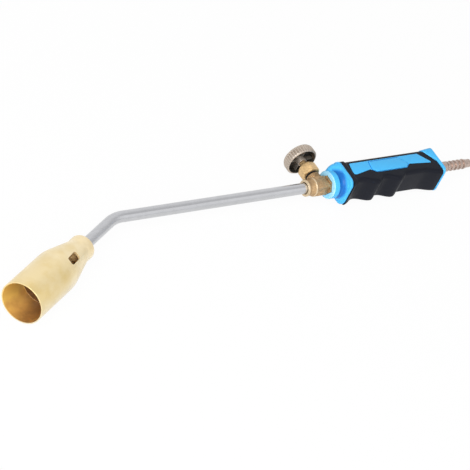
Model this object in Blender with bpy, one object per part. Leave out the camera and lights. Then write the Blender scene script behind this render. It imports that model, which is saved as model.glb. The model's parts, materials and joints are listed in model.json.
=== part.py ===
# Gas torch: a brass bell burner on a bent steel lance, a needle valve with a hand knob,
# a handle in two materials and a barbed hose tail.
# It lies on its side: the lance runs along X, the knob points to +Y and the bell bends towards -Y.
# Places are measured from the corner where the axes of the lance's two straight runs meet.

import math

import bmesh
import bpy
from mathutils import Matrix, Vector

# Clearances and cuts
FIT_GAP = 0.0003
CUT_OVERRUN = 0.001
MERGE_DISTANCE = 0.000001
SHARP_ANGLE = math.radians(35)

# Steps round a circle
BELL_STEPS = 40
PIPE_STEPS = 20
VALVE_STEPS = 28
SMALL_STEPS = 20
CORNER_STEPS = 4
ARC_STEPS = 7
FLARE_STEPS = 4

# Lance
BEND_ANGLE = math.radians(29.7)
BEND_RADIUS = 0.028
GOOSENECK_LENGTH = 0.0453
LANCE_LENGTH = 0.1856
TUBE_RADIUS = 0.0046
TUBE_WALL = 0.0011

# Bell: places are counted from the rear end of its neck to the mouth
NECK_LENGTH = 0.0100
NECK_RADIUS = 0.0105
NECK_WAIST = 0.0003
NECK_SHOULDER = 0.0026
CONE_LENGTH = 0.0285
BELL_RADIUS = 0.0175
PLAIN_LENGTH = 0.0050
SPIGOT_LENGTH = 0.0180
SPIGOT_WALL = 0.0012
MOUTH_TUBE_LENGTH = 0.0440
MOUTH_TUBE_WALL = 0.0010
CONE_WALL = 0.0029
MOUTH_ROUND = 0.0003

# Air slots in the cone
AIR_SLOT_COUNT = 4
AIR_SLOT_LENGTH = 0.0142
AIR_SLOT_WIDTH = 0.0066
AIR_SLOT_CORNER = 0.0024
AIR_SLOT_CENTRE_SHARE = 0.775
AIR_SLOT_TURN = math.radians(-24)

# Jet holder, filter and jet in the neck
NECK_BORE_RADIUS = 0.0070
HOLDER_SETBACK = 0.0006
HOLDER_LENGTH = 0.0134
HOLDER_SOCKET_DEPTH = 0.0060
HOLDER_WEB = 0.0014
HOLDER_PORT_RADIUS = 0.0018
JET_SHANK_RADIUS = 0.0027
JET_HEAD_RADIUS = 0.0044
JET_HEAD_LENGTH = 0.0037
JET_NOSE_LENGTH = 0.0030
JET_NOSE_RADIUS = 0.0016
JET_BORE_RADIUS = 0.0012
JET_ORIFICE_RADIUS = 0.00035
JET_ORIFICE_LENGTH = 0.0010
JET_FILTER_LENGTH = 0.0010

# Valve body along the lance
TUBE_INSERTION = 0.0080
SOCKET_CLEARANCE = 0.0008
SOCKET_WALL = 0.0011
SOCKET_CHAMFER = 0.0004
SOCKET_LIP = 0.0036
BRAZING_RING_DEPTH = 0.0012
BRAZING_RING_LENGTH = 0.0012
BAND_LENGTH = 0.0058
BAND_RISE = 0.0012
BARREL_RADIUS = 0.0056
BLOCK_HALF = 0.0059
BLOCK_LENGTH = 0.0130
BLOCK_CORNER = 0.0008
SPINDLE_SETBACK = 0.0151
BODY_LENGTH = 0.0217
HEX_ACROSS_FLATS = 0.0140
HEX_LENGTH = 0.0103
HEX_CHAMFER = 0.0006
PORT_RADIUS = 0.0016
PORT_OFFSET = 0.0012
PIPE_PORT_OFFSET = 0.0034
PIPE_PORT_RADIUS = 0.0015

# Valve boss, seat and gland: heights are counted from the lance axis
BOSS_RADIUS = 0.0056
BOSS_HEIGHT = 0.0110
BOSS_CHAMFER = 0.0004
SEAT_HEIGHT = 0.0016
SEAT_RADIUS = 0.0012
CHAMBER_RADIUS = 0.0033
CHAMBER_TOP = 0.0046
GLAND_SHANK_RADIUS = 0.0045
GLAND_HEX_ACROSS_FLATS = 0.0140
GLAND_HEX_HEIGHT = 0.0090
GLAND_TURN = math.radians(-12)
GLAND_CHAMFER = 0.0008
SEAL_RING_HEIGHT = 0.0009
SEAL_RING_WIDTH = 0.0011
PACKING_HEIGHT = 0.0011
PACKING_WASHER_HEIGHT = 0.0005

# Spindle, its seat plug and how far it screws out
SPINDLE_RADIUS = 0.0030
PLUG_RADIUS = 0.0025
PLUG_HEIGHT = 0.0013
PLUG_STEM_RADIUS = 0.0009
PLUG_STEM_LENGTH = 0.0016
SPINDLE_END_RADIUS = 0.0020

# Knob
KNOB_RADIUS = 0.0140
KNOB_HEIGHT = 0.0080
KNOB_CLEARANCE = 0.0064
KNOB_WALL = 0.0018
KNOB_PLATE = 0.0022
KNOB_PLATE_SETBACK = 0.0004
KNOB_CHAMFER = 0.0010
KNOB_CROWN = 0.0018
KNOB_FLUTES = 36
KNOB_FLUTE_DEPTH = 0.0007
KNOB_HUB_RADIUS = 0.0039
KNOB_HUB_DROP = 0.0006
KNOB_RIBS = 4
KNOB_RIB_WIDTH = 0.0014
KNOB_RIB_HEIGHT = 0.0030
KNOB_RECESS_RADIUS = 0.0056
KNOB_RECESS_DEPTH = 0.0010
WASHER_RADIUS = 0.0045
WASHER_THICKNESS = 0.0007
SCREW_HEAD_RADIUS = 0.0034
SCREW_HEAD_HEIGHT = 0.0018
SCREW_SHANK_RADIUS = 0.0010
SCREW_SHANK_LENGTH = 0.0070
SCREW_SLOT_WIDTH = 0.0008
SCREW_SLOT_DEPTH = 0.0008

# Handle core: places are counted from the front face of its front flange
GRIP_SPAN = 0.1030
FLANGE_HALF = 0.0143
FLANGE_CORNER = 0.0064
FLANGE_THICKNESS = 0.0026
FLANGE_ROUND = 0.0006
COLLAR_RADIUS = 0.0118
COLLAR_LENGTH = 0.0122
COLLAR_ROUND = 0.0006
COLLAR_GROOVE_DEPTH = 0.0008
COLLAR_GROOVE_WIDTH = 0.0022
COLLAR_FLARE_LENGTH = 0.0046
KNOB_FLARE_LENGTH = 0.0110
KNOB_FLARE_POWER = 2.5
KNOB_SIDE_SHARE = 0.75
POCKET_DEPTH = 0.0093
CORE_RADIUS = 0.0080
REAR_THICKNESS = 0.0028
REAR_HALF = 0.0140
REAR_CORNER = 0.0046
REAR_TAPER = 0.0013
REAR_SIDE = 0.0150
REAR_SLOPE_SHARE = 0.60
REAR_KNEE_SHARE = -0.21
REAR_RECESS_RADIUS = 0.0086
REAR_RECESS_DEPTH = 0.0100
REAR_BOSS_WALL = 0.0016
REAR_BOSS_FLOOR = 0.0030

# Inlays that show through the grip, and the bare raised plaque on each
PAD_PROUD = 0.0003
PAD_CORNER = 0.0012
PLAQUE_RISE = 0.0005
PAD_OUTLINE_SHARES = (
    (0.109, 0.68), (0.822, 0.68), (0.915, -0.27), (0.685, -0.08),
    (0.638, -0.38), (0.323, -0.38), (0.273, -0.06), (0.084, -0.37),
)
PLAQUE_OUTLINE_SHARES = (
    (0.303, 0.61), (0.616, 0.61), (0.669, -0.10), (0.632, -0.335), (0.326, -0.335), (0.290, -0.07),
)

# Grip
GRIP_HALF = 0.0125
GRIP_SIDE = 0.0152
GRIP_CORNER = 0.0036
GRIP_STATIONS = 38
LIP_RISE = 0.0008
LIP_LENGTH = 0.0044
LIP_RAMP = 0.0015
GROOVE_DEPTH = 0.0043
GROOVE_SHARES = (
    (0.012, 0.290, 0.116, 0.151), (0.290, 0.518, 0.078, 0.136), (0.518, 0.973, 0.082, 0.192),
)

# Supply pipe through the handle, and the hose tail on its end
PIPE_RADIUS = 0.0050
PIPE_WALL = 0.0012
PIPE_INSERTION = 0.0075
TAIL_REACH = 0.0430
TAIL_HEAD_RADIUS = 0.0082
TAIL_HEAD_LENGTH = 0.0065
TAIL_SOCKET_DEPTH = 0.0048
TAIL_WASHER_LENGTH = 0.0010
TAIL_NECK_LENGTH = 0.0150
TAIL_ROOT_RADIUS = 0.0036
TAIL_BORE_RADIUS = 0.0022
TAIL_TIP_ROUND = 0.0008
BARB_COUNT = 5
BARB_PITCH = 0.0046
BARB_RISE = 0.0007
BARB_STEP_SHARE = 0.12
INLET_FILTER_RADIUS = 0.0029
INLET_FILTER_LENGTH = 0.0022

# Places that follow from the sizes above
BELL_LENGTH = NECK_LENGTH + CONE_LENGTH + PLAIN_LENGTH + MOUTH_TUBE_LENGTH
SEAM_PLACE = NECK_LENGTH + CONE_LENGTH + PLAIN_LENGTH
MOUTH_BORE = BELL_RADIUS - MOUTH_TUBE_WALL
SPIGOT_RADIUS = MOUTH_BORE - FIT_GAP
SPINDLE_PLACE = LANCE_LENGTH + SPINDLE_SETBACK
HEX_FRONT = LANCE_LENGTH + BODY_LENGTH
HEX_REAR = HEX_FRONT + HEX_LENGTH
FLANGE_PLACE = HEX_REAR + FIT_GAP - POCKET_DEPTH + COLLAR_LENGTH
SOCKET_BORE = TUBE_RADIUS + SOCKET_CLEARANCE
SOCKET_RADIUS = SOCKET_BORE + SOCKET_WALL
GLAND_BORE = GLAND_SHANK_RADIUS + FIT_GAP
STACK_BASE = CHAMBER_TOP + FIT_GAP
PACKING_BASE = STACK_BASE + PACKING_WASHER_HEIGHT + FIT_GAP
GLAND_BASE = PACKING_BASE + PACKING_HEIGHT + FIT_GAP
GLAND_HEX_BASE = BOSS_HEIGHT + FIT_GAP + SEAL_RING_HEIGHT + FIT_GAP
GLAND_TOP = GLAND_HEX_BASE + GLAND_HEX_HEIGHT
KNOB_BASE = GLAND_TOP + KNOB_CLEARANCE
HUB_BASE = KNOB_BASE - KNOB_HUB_DROP
KNOB_FACE = KNOB_BASE + KNOB_HEIGHT
RECESS_FLOOR = KNOB_FACE - KNOB_PLATE_SETBACK - KNOB_RECESS_DEPTH
CORE_BORE = PIPE_RADIUS + FIT_GAP
TAIL_HEAD_FRONT = GRIP_SPAN - REAR_RECESS_DEPTH + FIT_GAP + TAIL_WASHER_LENGTH + FIT_GAP
TAIL_TIP = GRIP_SPAN + TAIL_REACH


# Scene and objects

def clear_scene():
    for obj in list(bpy.data.objects):
        bpy.data.objects.remove(obj, do_unlink=True)


def finish(name, colour, roughness, metallic):
    material = bpy.data.materials.new(name)
    material.use_nodes = True
    shader = material.node_tree.nodes["Principled BSDF"]
    shader.inputs["Base Color"].default_value = (*colour, 1)
    shader.inputs["Roughness"].default_value = roughness
    shader.inputs["Metallic"].default_value = metallic
    material.diffuse_color = (*colour, 1)
    return material


def brass(name):
    return finish(name, (0.72, 0.55, 0.27), 0.28, 1)


def steel(name):
    return finish(name, (0.62, 0.64, 0.66), 0.35, 1)


def blue_plastic(name):
    return finish(name, (0.05, 0.40, 0.92), 0.45, 0)


def black_rubber(name):
    return finish(name, (0.018, 0.020, 0.026), 0.70, 0)


def pale_nylon(name):
    return finish(name, (0.80, 0.78, 0.70), 0.50, 0)


def empty(name, parent=None, location=(0, 0, 0), rotation=(0, 0, 0)):
    marker = bpy.data.objects.new(name, None)
    bpy.context.scene.collection.objects.link(marker)
    marker.parent = parent
    marker.location = location
    marker.rotation_euler = rotation
    return marker


def object_from(name, bm, parent, location=(0, 0, 0), rotation=(0, 0, 0)):
    bmesh.ops.remove_doubles(bm, verts=bm.verts, dist=MERGE_DISTANCE)
    bmesh.ops.recalc_face_normals(bm, faces=bm.faces)
    mesh = bpy.data.meshes.new(name)
    bm.to_mesh(mesh)
    bm.free()
    mesh.shade_smooth()
    mesh.set_sharp_from_angle(angle=SHARP_ANGLE)
    obj = bpy.data.objects.new(name, mesh)
    bpy.context.scene.collection.objects.link(obj)
    obj.parent = parent
    obj.location = location
    obj.rotation_euler = rotation
    return obj


def dress(obj, material):
    obj.data.materials.append(material)
    return obj


def hide_helper(obj):
    obj.hide_render = True
    obj.display_type = "WIRE"


def combine(target, operation, helpers):
    for helper in helpers:
        modifier = target.modifiers.new(helper.name, "BOOLEAN")
        modifier.operation = operation
        modifier.solver = "EXACT"
        modifier.object = helper
        hide_helper(helper)
    return target


def join(target, *helpers):
    return combine(target, "UNION", helpers)


def cut(target, *helpers):
    return combine(target, "DIFFERENCE", helpers)


def keep_common(target, *helpers):
    return combine(target, "INTERSECT", helpers)


# Shapes

def turned(name, profile, parent, steps, location=(0, 0, 0), rotation=(0, 0, 0)):
    # The profile is a closed outline of (place along Z, radius), revolved about Z.
    bm = bmesh.new()
    verts = [bm.verts.new((radius, 0, place)) for place, radius in profile]
    edges = []
    for first, second in zip(verts, verts[1:] + verts[:1]):
        if first.co.x or second.co.x:
            edges.append(bm.edges.new((first, second)))
    bmesh.ops.spin(
        bm, geom=verts + edges, axis=(0, 0, 1), cent=(0, 0, 0), angle=2 * math.pi, steps=steps, use_merge=True,
    )
    return object_from(name, bm, parent, location, rotation)


def ring(name, start, end, inner, outer, parent, steps, location=(0, 0, 0), rotation=(0, 0, 0)):
    profile = ((start, inner), (start, outer), (end, outer), (end, inner))
    return turned(name, profile, parent, steps, location, rotation)


def rod(name, start, end, radius, parent, steps, location=(0, 0, 0), rotation=(0, 0, 0)):
    return ring(name, start, end, 0, radius, parent, steps, location, rotation)


def skinned(name, rings, parent, closed, location=(0, 0, 0)):
    # Faces between neighbouring rings of points; a closed skin runs on from its last ring to its first.
    bm = bmesh.new()
    rows = [[bm.verts.new(point) for point in points] for points in rings]
    pairs = list(zip(rows, rows[1:]))
    if closed:
        pairs.append((rows[-1], rows[0]))
    else:
        bm.faces.new(rows[0])
        bm.faces.new(rows[-1])
    for first, second in pairs:
        for i in range(len(first)):
            j = (i + 1) % len(first)
            bm.faces.new((first[i], first[j], second[j], second[i]))
    return object_from(name, bm, parent, location)


def prism(name, outline, low, high, parent, location=(0, 0, 0), rotation=(0, 0, 0)):
    # The outline lies in XY and is extruded along Z.
    bm = bmesh.new()
    face = bm.faces.new([bm.verts.new((x, y, low)) for x, y in outline])
    pushed = bmesh.ops.extrude_face_region(bm, geom=[face])
    moved = [item for item in pushed["geom"] if isinstance(item, bmesh.types.BMVert)]
    bmesh.ops.translate(bm, verts=moved, vec=(0, 0, high - low))
    return object_from(name, bm, parent, location, rotation)


def block(name, low, high, parent):
    outline = ((low[0], low[1]), (high[0], low[1]), (high[0], high[1]), (low[0], high[1]))
    return prism(name, outline, low[2], high[2], parent)


def hexagon_outline(across_flats):
    # Two of its corners lie on the Y axis.
    radius = across_flats / math.sqrt(3)
    angles = [math.pi * (i + 1 / 2) / 3 for i in range(6)]
    return [(radius * math.cos(angle), radius * math.sin(angle)) for angle in angles]


def chamfered_hexagon(name, across_flats, low, high, chamfer, parent):
    nut = prism(name, hexagon_outline(across_flats), low, high, parent)
    flat = across_flats / 2
    peak = flat + 2 * chamfer
    reach = high - low
    profile = (
        (low - CUT_OVERRUN, 0), (low - CUT_OVERRUN, flat - CUT_OVERRUN * 2),
        (low + chamfer, peak), (low + reach - chamfer, peak),
        (high + CUT_OVERRUN, flat - CUT_OVERRUN * 2), (high + CUT_OVERRUN, 0),
    )
    envelope = turned(name + "_chamfer", profile, parent, VALVE_STEPS)
    return keep_common(nut, envelope)


def fillet_outline(corners, radius, steps):
    # Replaces each corner of a closed outline by an arc.
    points = []
    for i, corner in enumerate(corners):
        here = Vector(corner)
        back = (Vector(corners[i - 1]) - here).normalized()
        ahead = (Vector(corners[(i + 1) % len(corners)]) - here).normalized()
        half = back.angle(ahead) / 2
        reach = radius / math.tan(half)
        centre = here + (back + ahead).normalized() * radius / math.sin(half)
        start = here + back * reach - centre
        end = here + ahead * reach - centre
        sweep = start.angle_signed(end)
        for step in range(steps + 1):
            turn = Matrix.Rotation(-sweep * step / steps, 2)
            points.append(tuple(centre + turn @ start))
    return points


def offset_outline(corners, distance):
    # Moves every side of a closed outline outwards by the same distance.
    area = sum(a[0] * b[1] - b[0] * a[1] for a, b in zip(corners, corners[1:] + corners[:1]))
    outward = math.copysign(distance, area)
    moved = []
    for i, corner in enumerate(corners):
        here = Vector(corner)
        back = (here - Vector(corners[i - 1])).normalized()
        ahead = (Vector(corners[(i + 1) % len(corners)]) - here).normalized()
        normals = Vector((back.y, -back.x)) + Vector((ahead.y, -ahead.x))
        moved.append(tuple(here + normals * outward / (1 + back.dot(ahead))))
    return moved


def rounded_box_outline(low_y, high_y, half_z, corner):
    corners = [(low_y, -half_z), (high_y, -half_z), (high_y, half_z), (low_y, half_z)]
    return fillet_outline(corners, corner, CORNER_STEPS)


def smooth_rise(share):
    share = min(max(share, 0), 1)
    return share * share * (3 - 2 * share)


# Bell burner

def make_bell_mouth_tube(parent):
    outer_edge = BELL_RADIUS - MOUTH_ROUND
    profile = (
        (SEAM_PLACE + FIT_GAP, MOUTH_BORE), (SEAM_PLACE + FIT_GAP, BELL_RADIUS),
        (BELL_LENGTH - MOUTH_ROUND, BELL_RADIUS), (BELL_LENGTH, outer_edge), (BELL_LENGTH, MOUTH_BORE),
    )
    return dress(turned("bell_mouth_tube", profile, parent, BELL_STEPS), brass("mouth_tube_brass"))


def make_air_slot(index, parent):
    half_length = AIR_SLOT_LENGTH / 2
    half_width = AIR_SLOT_WIDTH / 2
    corners = [(-half_length, -half_width), (half_length, -half_width), (half_length, half_width)]
    corners.append((-half_length, half_width))
    outline = fillet_outline(corners, AIR_SLOT_CORNER, CORNER_STEPS)
    centre = NECK_LENGTH + AIR_SLOT_CENTRE_SHARE * CONE_LENGTH
    turn = AIR_SLOT_TURN + 2 * math.pi * index / AIR_SLOT_COUNT
    slot = prism("air_slot_cutter", outline, NECK_BORE_RADIUS, BELL_RADIUS + CUT_OVERRUN, parent)
    # The slot's length turns onto the bell's axis, its depth points away from that axis.
    lie = Matrix(((0, 0, 1), (0, 1, 0), (-1, 0, 0))).to_4x4()
    slot.matrix_local = Matrix.Rotation(turn, 4, "Z") @ Matrix.Translation((0, 0, centre)) @ lie
    return slot


def make_bell_cone(parent):
    inner = SPIGOT_RADIUS - SPIGOT_WALL
    cone_end = NECK_LENGTH + CONE_LENGTH
    inner_start = NECK_LENGTH + HOLDER_WEB
    inner_end = cone_end - CONE_WALL
    waist = NECK_RADIUS - NECK_WAIST
    profile = (
        (0, NECK_BORE_RADIUS), (0, NECK_RADIUS - NECK_SHOULDER),
        (NECK_SHOULDER / 3, NECK_RADIUS - NECK_SHOULDER / 3), (NECK_SHOULDER, NECK_RADIUS),
        (NECK_LENGTH - NECK_SHOULDER, NECK_RADIUS), (NECK_LENGTH, waist),
        (cone_end, BELL_RADIUS), (SEAM_PLACE, BELL_RADIUS), (SEAM_PLACE, SPIGOT_RADIUS),
        (SEAM_PLACE + SPIGOT_LENGTH, SPIGOT_RADIUS), (SEAM_PLACE + SPIGOT_LENGTH, inner),
        (inner_end, inner), (inner_start, waist - CONE_WALL), (NECK_LENGTH, NECK_BORE_RADIUS),
    )
    cone = dress(turned("bell_cone", profile, parent, BELL_STEPS), brass("cone_brass"))
    return cut(cone, *[make_air_slot(index, parent) for index in range(AIR_SLOT_COUNT)])


def make_jet_parts(parent):
    radius = NECK_BORE_RADIUS - FIT_GAP
    rear = HOLDER_SETBACK
    front = rear + HOLDER_LENGTH
    socket_end = rear + HOLDER_SOCKET_DEPTH
    pocket = socket_end + HOLDER_WEB
    tube_seat = TUBE_RADIUS + FIT_GAP
    jet_seat = JET_SHANK_RADIUS + FIT_GAP
    holder = (
        (rear, tube_seat), (rear, radius), (front, radius), (front, jet_seat), (pocket, jet_seat),
        (pocket, HOLDER_PORT_RADIUS), (socket_end, HOLDER_PORT_RADIUS), (socket_end, tube_seat),
    )
    dress(turned("jet_holder", holder, parent, VALVE_STEPS), brass("holder_brass"))
    filter_start = pocket + FIT_GAP
    filter_end = filter_start + JET_FILTER_LENGTH
    sinter = rod("jet_filter", filter_start, filter_end, JET_SHANK_RADIUS, parent, SMALL_STEPS)
    dress(sinter, finish("sintered_bronze", (0.45, 0.30, 0.14), 0.8, 1))
    shank_start = filter_end + FIT_GAP
    head_start = front + FIT_GAP
    head_end = head_start + JET_HEAD_LENGTH
    nose = head_end + JET_NOSE_LENGTH
    orifice_start = nose - JET_ORIFICE_LENGTH
    jet = (
        (shank_start, JET_BORE_RADIUS), (shank_start, JET_SHANK_RADIUS), (head_start, JET_SHANK_RADIUS),
        (head_start, JET_HEAD_RADIUS), (head_end, JET_HEAD_RADIUS), (nose, JET_NOSE_RADIUS),
        (nose, JET_ORIFICE_RADIUS), (orifice_start, JET_ORIFICE_RADIUS), (orifice_start, JET_BORE_RADIUS),
    )
    dress(turned("gas_jet", jet, parent, SMALL_STEPS), brass("jet_brass"))


# Lance

def tube_ring(centre, heading, radius):
    across = Vector((-math.sin(heading), math.cos(heading), 0))
    points = []
    for step in range(PIPE_STEPS):
        angle = 2 * math.pi * step / PIPE_STEPS
        points.append(centre + across * math.cos(angle) * radius + Vector((0, 0, math.sin(angle) * radius)))
    return points


def lance_route():
    # Stations as (centre, heading), from the valve socket round the bend to the jet holder.
    tangent = BEND_RADIUS * math.tan(BEND_ANGLE / 2)
    bend_centre = Vector((tangent, -BEND_RADIUS, 0))
    stations = [(Vector((LANCE_LENGTH + TUBE_INSERTION, 0, 0)), 0)]
    for step in range(ARC_STEPS + 1):
        heading = BEND_ANGLE * step / ARC_STEPS
        arm = Vector((-math.sin(heading), math.cos(heading), 0))
        stations.append((bend_centre + arm * BEND_RADIUS, heading))
    reach = GOOSENECK_LENGTH + HOLDER_SETBACK + HOLDER_SOCKET_DEPTH - FIT_GAP
    stations.append((-reach * Vector((math.cos(BEND_ANGLE), math.sin(BEND_ANGLE), 0)), BEND_ANGLE))
    return stations


def make_lance_tube(parent):
    route = lance_route()
    rings = [tube_ring(centre, heading, TUBE_RADIUS) for centre, heading in route]
    rings += [tube_ring(centre, heading, TUBE_RADIUS - TUBE_WALL) for centre, heading in reversed(route)]
    return dress(skinned("lance_tube", rings, parent, True), steel("zinc_plated_steel"))


def make_brazing_ring(parent):
    start = LANCE_LENGTH + BRAZING_RING_DEPTH
    end = start + BRAZING_RING_LENGTH
    inner = TUBE_RADIUS + FIT_GAP
    braze = ring("brazing_ring", start, end, inner, SOCKET_BORE - FIT_GAP, parent, PIPE_STEPS)
    return dress(braze, finish("brazing_filler", (0.40, 0.28, 0.12), 0.6, 1))


# Valve

def make_valve_body(lance_axis, spindle_axis):
    lip_end = LANCE_LENGTH + SOCKET_LIP
    band_end = lip_end + BAND_LENGTH
    profile = (
        (LANCE_LENGTH, 0), (LANCE_LENGTH, SOCKET_RADIUS - SOCKET_CHAMFER),
        (LANCE_LENGTH + SOCKET_CHAMFER, SOCKET_RADIUS), (lip_end, SOCKET_RADIUS),
        ((lip_end + band_end) / 2, SOCKET_RADIUS + BAND_RISE / 2),
        (band_end - BAND_LENGTH / 4, SOCKET_RADIUS + BAND_RISE), (band_end, SOCKET_RADIUS),
        (band_end + BAND_LENGTH / 4, BARREL_RADIUS), (HEX_FRONT + HEX_CHAMFER, BARREL_RADIUS),
        (HEX_FRONT + HEX_CHAMFER, 0),
    )
    body = dress(turned("valve_body", profile, lance_axis, VALVE_STEPS), brass("valve_brass"))
    hexagon = chamfered_hexagon(
        "valve_hexagon", HEX_ACROSS_FLATS, HEX_FRONT, HEX_REAR, HEX_CHAMFER, lance_axis,
    )
    neck = (
        (BLOCK_HALF / 3, 0), (BLOCK_HALF / 3, BOSS_RADIUS), (BOSS_HEIGHT - BOSS_CHAMFER, BOSS_RADIUS),
        (BOSS_HEIGHT, BOSS_RADIUS - BOSS_CHAMFER), (BOSS_HEIGHT, 0),
    )
    square = rounded_box_outline(-BLOCK_HALF, BLOCK_HALF, BLOCK_HALF, BLOCK_CORNER)
    block_start = band_end - BAND_LENGTH / 6
    square_block = prism("valve_block", square, block_start, block_start + BLOCK_LENGTH, lance_axis)
    join(body, square_block, hexagon, turned("valve_boss", neck, spindle_axis, VALVE_STEPS))
    return cut(body, spindle_bore(spindle_axis), *lance_bores(lance_axis))


def lance_bores(axis):
    # The tube's socket, the passage from it to under the seat, and the way in from the supply pipe.
    socket_end = LANCE_LENGTH + TUBE_INSERTION + FIT_GAP
    pipe_end = HEX_REAR - PIPE_INSERTION - FIT_GAP
    socket = rod("socket_bore", LANCE_LENGTH - CUT_OVERRUN, socket_end, SOCKET_BORE, axis, PIPE_STEPS)
    pipe_bore = rod("pipe_bore", pipe_end, HEX_REAR + CUT_OVERRUN, PIPE_RADIUS + FIT_GAP, axis, PIPE_STEPS)
    outlet = rod(
        "outlet_port", socket_end - CUT_OVERRUN, SPINDLE_PLACE + SEAT_RADIUS / 2, PORT_RADIUS, axis, SMALL_STEPS,
        location=(0, -PORT_OFFSET, 0),
    )
    inlet = rod(
        "inlet_port", SPINDLE_PLACE, pipe_end + CUT_OVERRUN, PIPE_PORT_RADIUS, axis, SMALL_STEPS,
        location=(0, PIPE_PORT_OFFSET, 0),
    )
    return socket, pipe_bore, outlet, inlet


def spindle_bore(axis):
    # One stepped hole: the seat, the chamber over it and the bore for the packing and the gland.
    mouth = BOSS_HEIGHT + CUT_OVERRUN
    profile = (
        (-PORT_OFFSET / 2, 0), (-PORT_OFFSET / 2, SEAT_RADIUS), (SEAT_HEIGHT, SEAT_RADIUS),
        (SEAT_HEIGHT, CHAMBER_RADIUS), (CHAMBER_TOP, CHAMBER_RADIUS), (CHAMBER_TOP, GLAND_BORE),
        (mouth, GLAND_BORE), (mouth, 0),
    )
    return turned("spindle_bore", profile, axis, SMALL_STEPS)


def make_gland(axis):
    clear = SPINDLE_RADIUS + FIT_GAP
    packing_washer = ring(
        "packing_washer", STACK_BASE, STACK_BASE + PACKING_WASHER_HEIGHT, clear, GLAND_SHANK_RADIUS,
        axis, SMALL_STEPS,
    )
    dress(packing_washer, brass("packing_washer_brass"))
    packing = ring(
        "gland_packing", PACKING_BASE, PACKING_BASE + PACKING_HEIGHT, clear, GLAND_SHANK_RADIUS,
        axis, SMALL_STEPS,
    )
    dress(packing, pale_nylon("packing_white"))
    ring_base = BOSS_HEIGHT + FIT_GAP
    ring_inner = GLAND_SHANK_RADIUS + FIT_GAP
    seal = ring(
        "gland_seal_ring", ring_base, ring_base + SEAL_RING_HEIGHT, ring_inner, ring_inner + SEAL_RING_WIDTH,
        axis, SMALL_STEPS,
    )
    dress(seal, black_rubber("seal_rubber"))
    nut = chamfered_hexagon(
        "gland_nut", GLAND_HEX_ACROSS_FLATS, GLAND_HEX_BASE, GLAND_TOP, GLAND_CHAMFER, axis,
    )
    nut.rotation_euler = (0, 0, GLAND_TURN)
    dress(nut, brass("gland_brass"))
    shank_top = GLAND_HEX_BASE + CUT_OVERRUN
    join(nut, rod("gland_shank", GLAND_BASE, shank_top, GLAND_SHANK_RADIUS, axis, SMALL_STEPS))
    cut(nut, rod("gland_hole", GLAND_BASE - CUT_OVERRUN, GLAND_TOP + CUT_OVERRUN, clear, axis, SMALL_STEPS))


def make_seat_plug(axis):
    base = SEAT_HEIGHT + FIT_GAP
    shoulder = base + PLUG_HEIGHT
    tip = shoulder + PLUG_STEM_LENGTH
    profile = (
        (base, 0), (base, PLUG_RADIUS), (shoulder, PLUG_RADIUS), (shoulder, PLUG_STEM_RADIUS),
        (tip, PLUG_STEM_RADIUS), (tip, 0),
    )
    return dress(turned("seat_plug", profile, axis, SMALL_STEPS), pale_nylon("plug_nylon"))


def make_spindle(axis):
    foot = SEAT_HEIGHT + FIT_GAP + PLUG_HEIGHT + FIT_GAP
    cup = foot + PLUG_STEM_LENGTH
    shoulder = HUB_BASE - FIT_GAP
    top = RECESS_FLOOR
    screw_hole = top - SCREW_SHANK_LENGTH
    stem_seat = PLUG_STEM_RADIUS + FIT_GAP
    screw_seat = SCREW_SHANK_RADIUS + FIT_GAP
    profile = (
        (cup, 0), (cup, stem_seat), (foot, stem_seat), (foot, SPINDLE_RADIUS), (shoulder, SPINDLE_RADIUS),
        (shoulder, SPINDLE_END_RADIUS), (top, SPINDLE_END_RADIUS), (top, screw_seat),
        (screw_hole, screw_seat), (screw_hole, 0),
    )
    return dress(turned("valve_spindle", profile, axis, SMALL_STEPS), brass("spindle_brass"))


# Knob

def fluted_ring(radius, place, depth_share):
    points = []
    count = KNOB_FLUTES * 4
    for step in range(count):
        angle = 2 * math.pi * step / count
        dip = KNOB_FLUTE_DEPTH * depth_share * (1 - math.cos(KNOB_FLUTES * angle)) / 2
        points.append(((radius - dip) * math.cos(angle), (radius - dip) * math.sin(angle), place))
    return points


def make_knob_rib(index, axis):
    start = KNOB_HUB_RADIUS - KNOB_RIB_WIDTH / 2
    end = KNOB_RADIUS - KNOB_WALL / 2 - KNOB_FLUTE_DEPTH
    half = KNOB_RIB_WIDTH / 2
    top = RECESS_FLOOR
    under = KNOB_FACE - KNOB_PLATE_SETBACK - KNOB_PLATE
    rib = block("knob_rib", (start, -half, under - KNOB_RIB_HEIGHT), (end, half, (top + under) / 2), axis)
    rib.rotation_euler = (0, 0, 2 * math.pi * index / KNOB_RIBS)
    return rib


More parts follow.
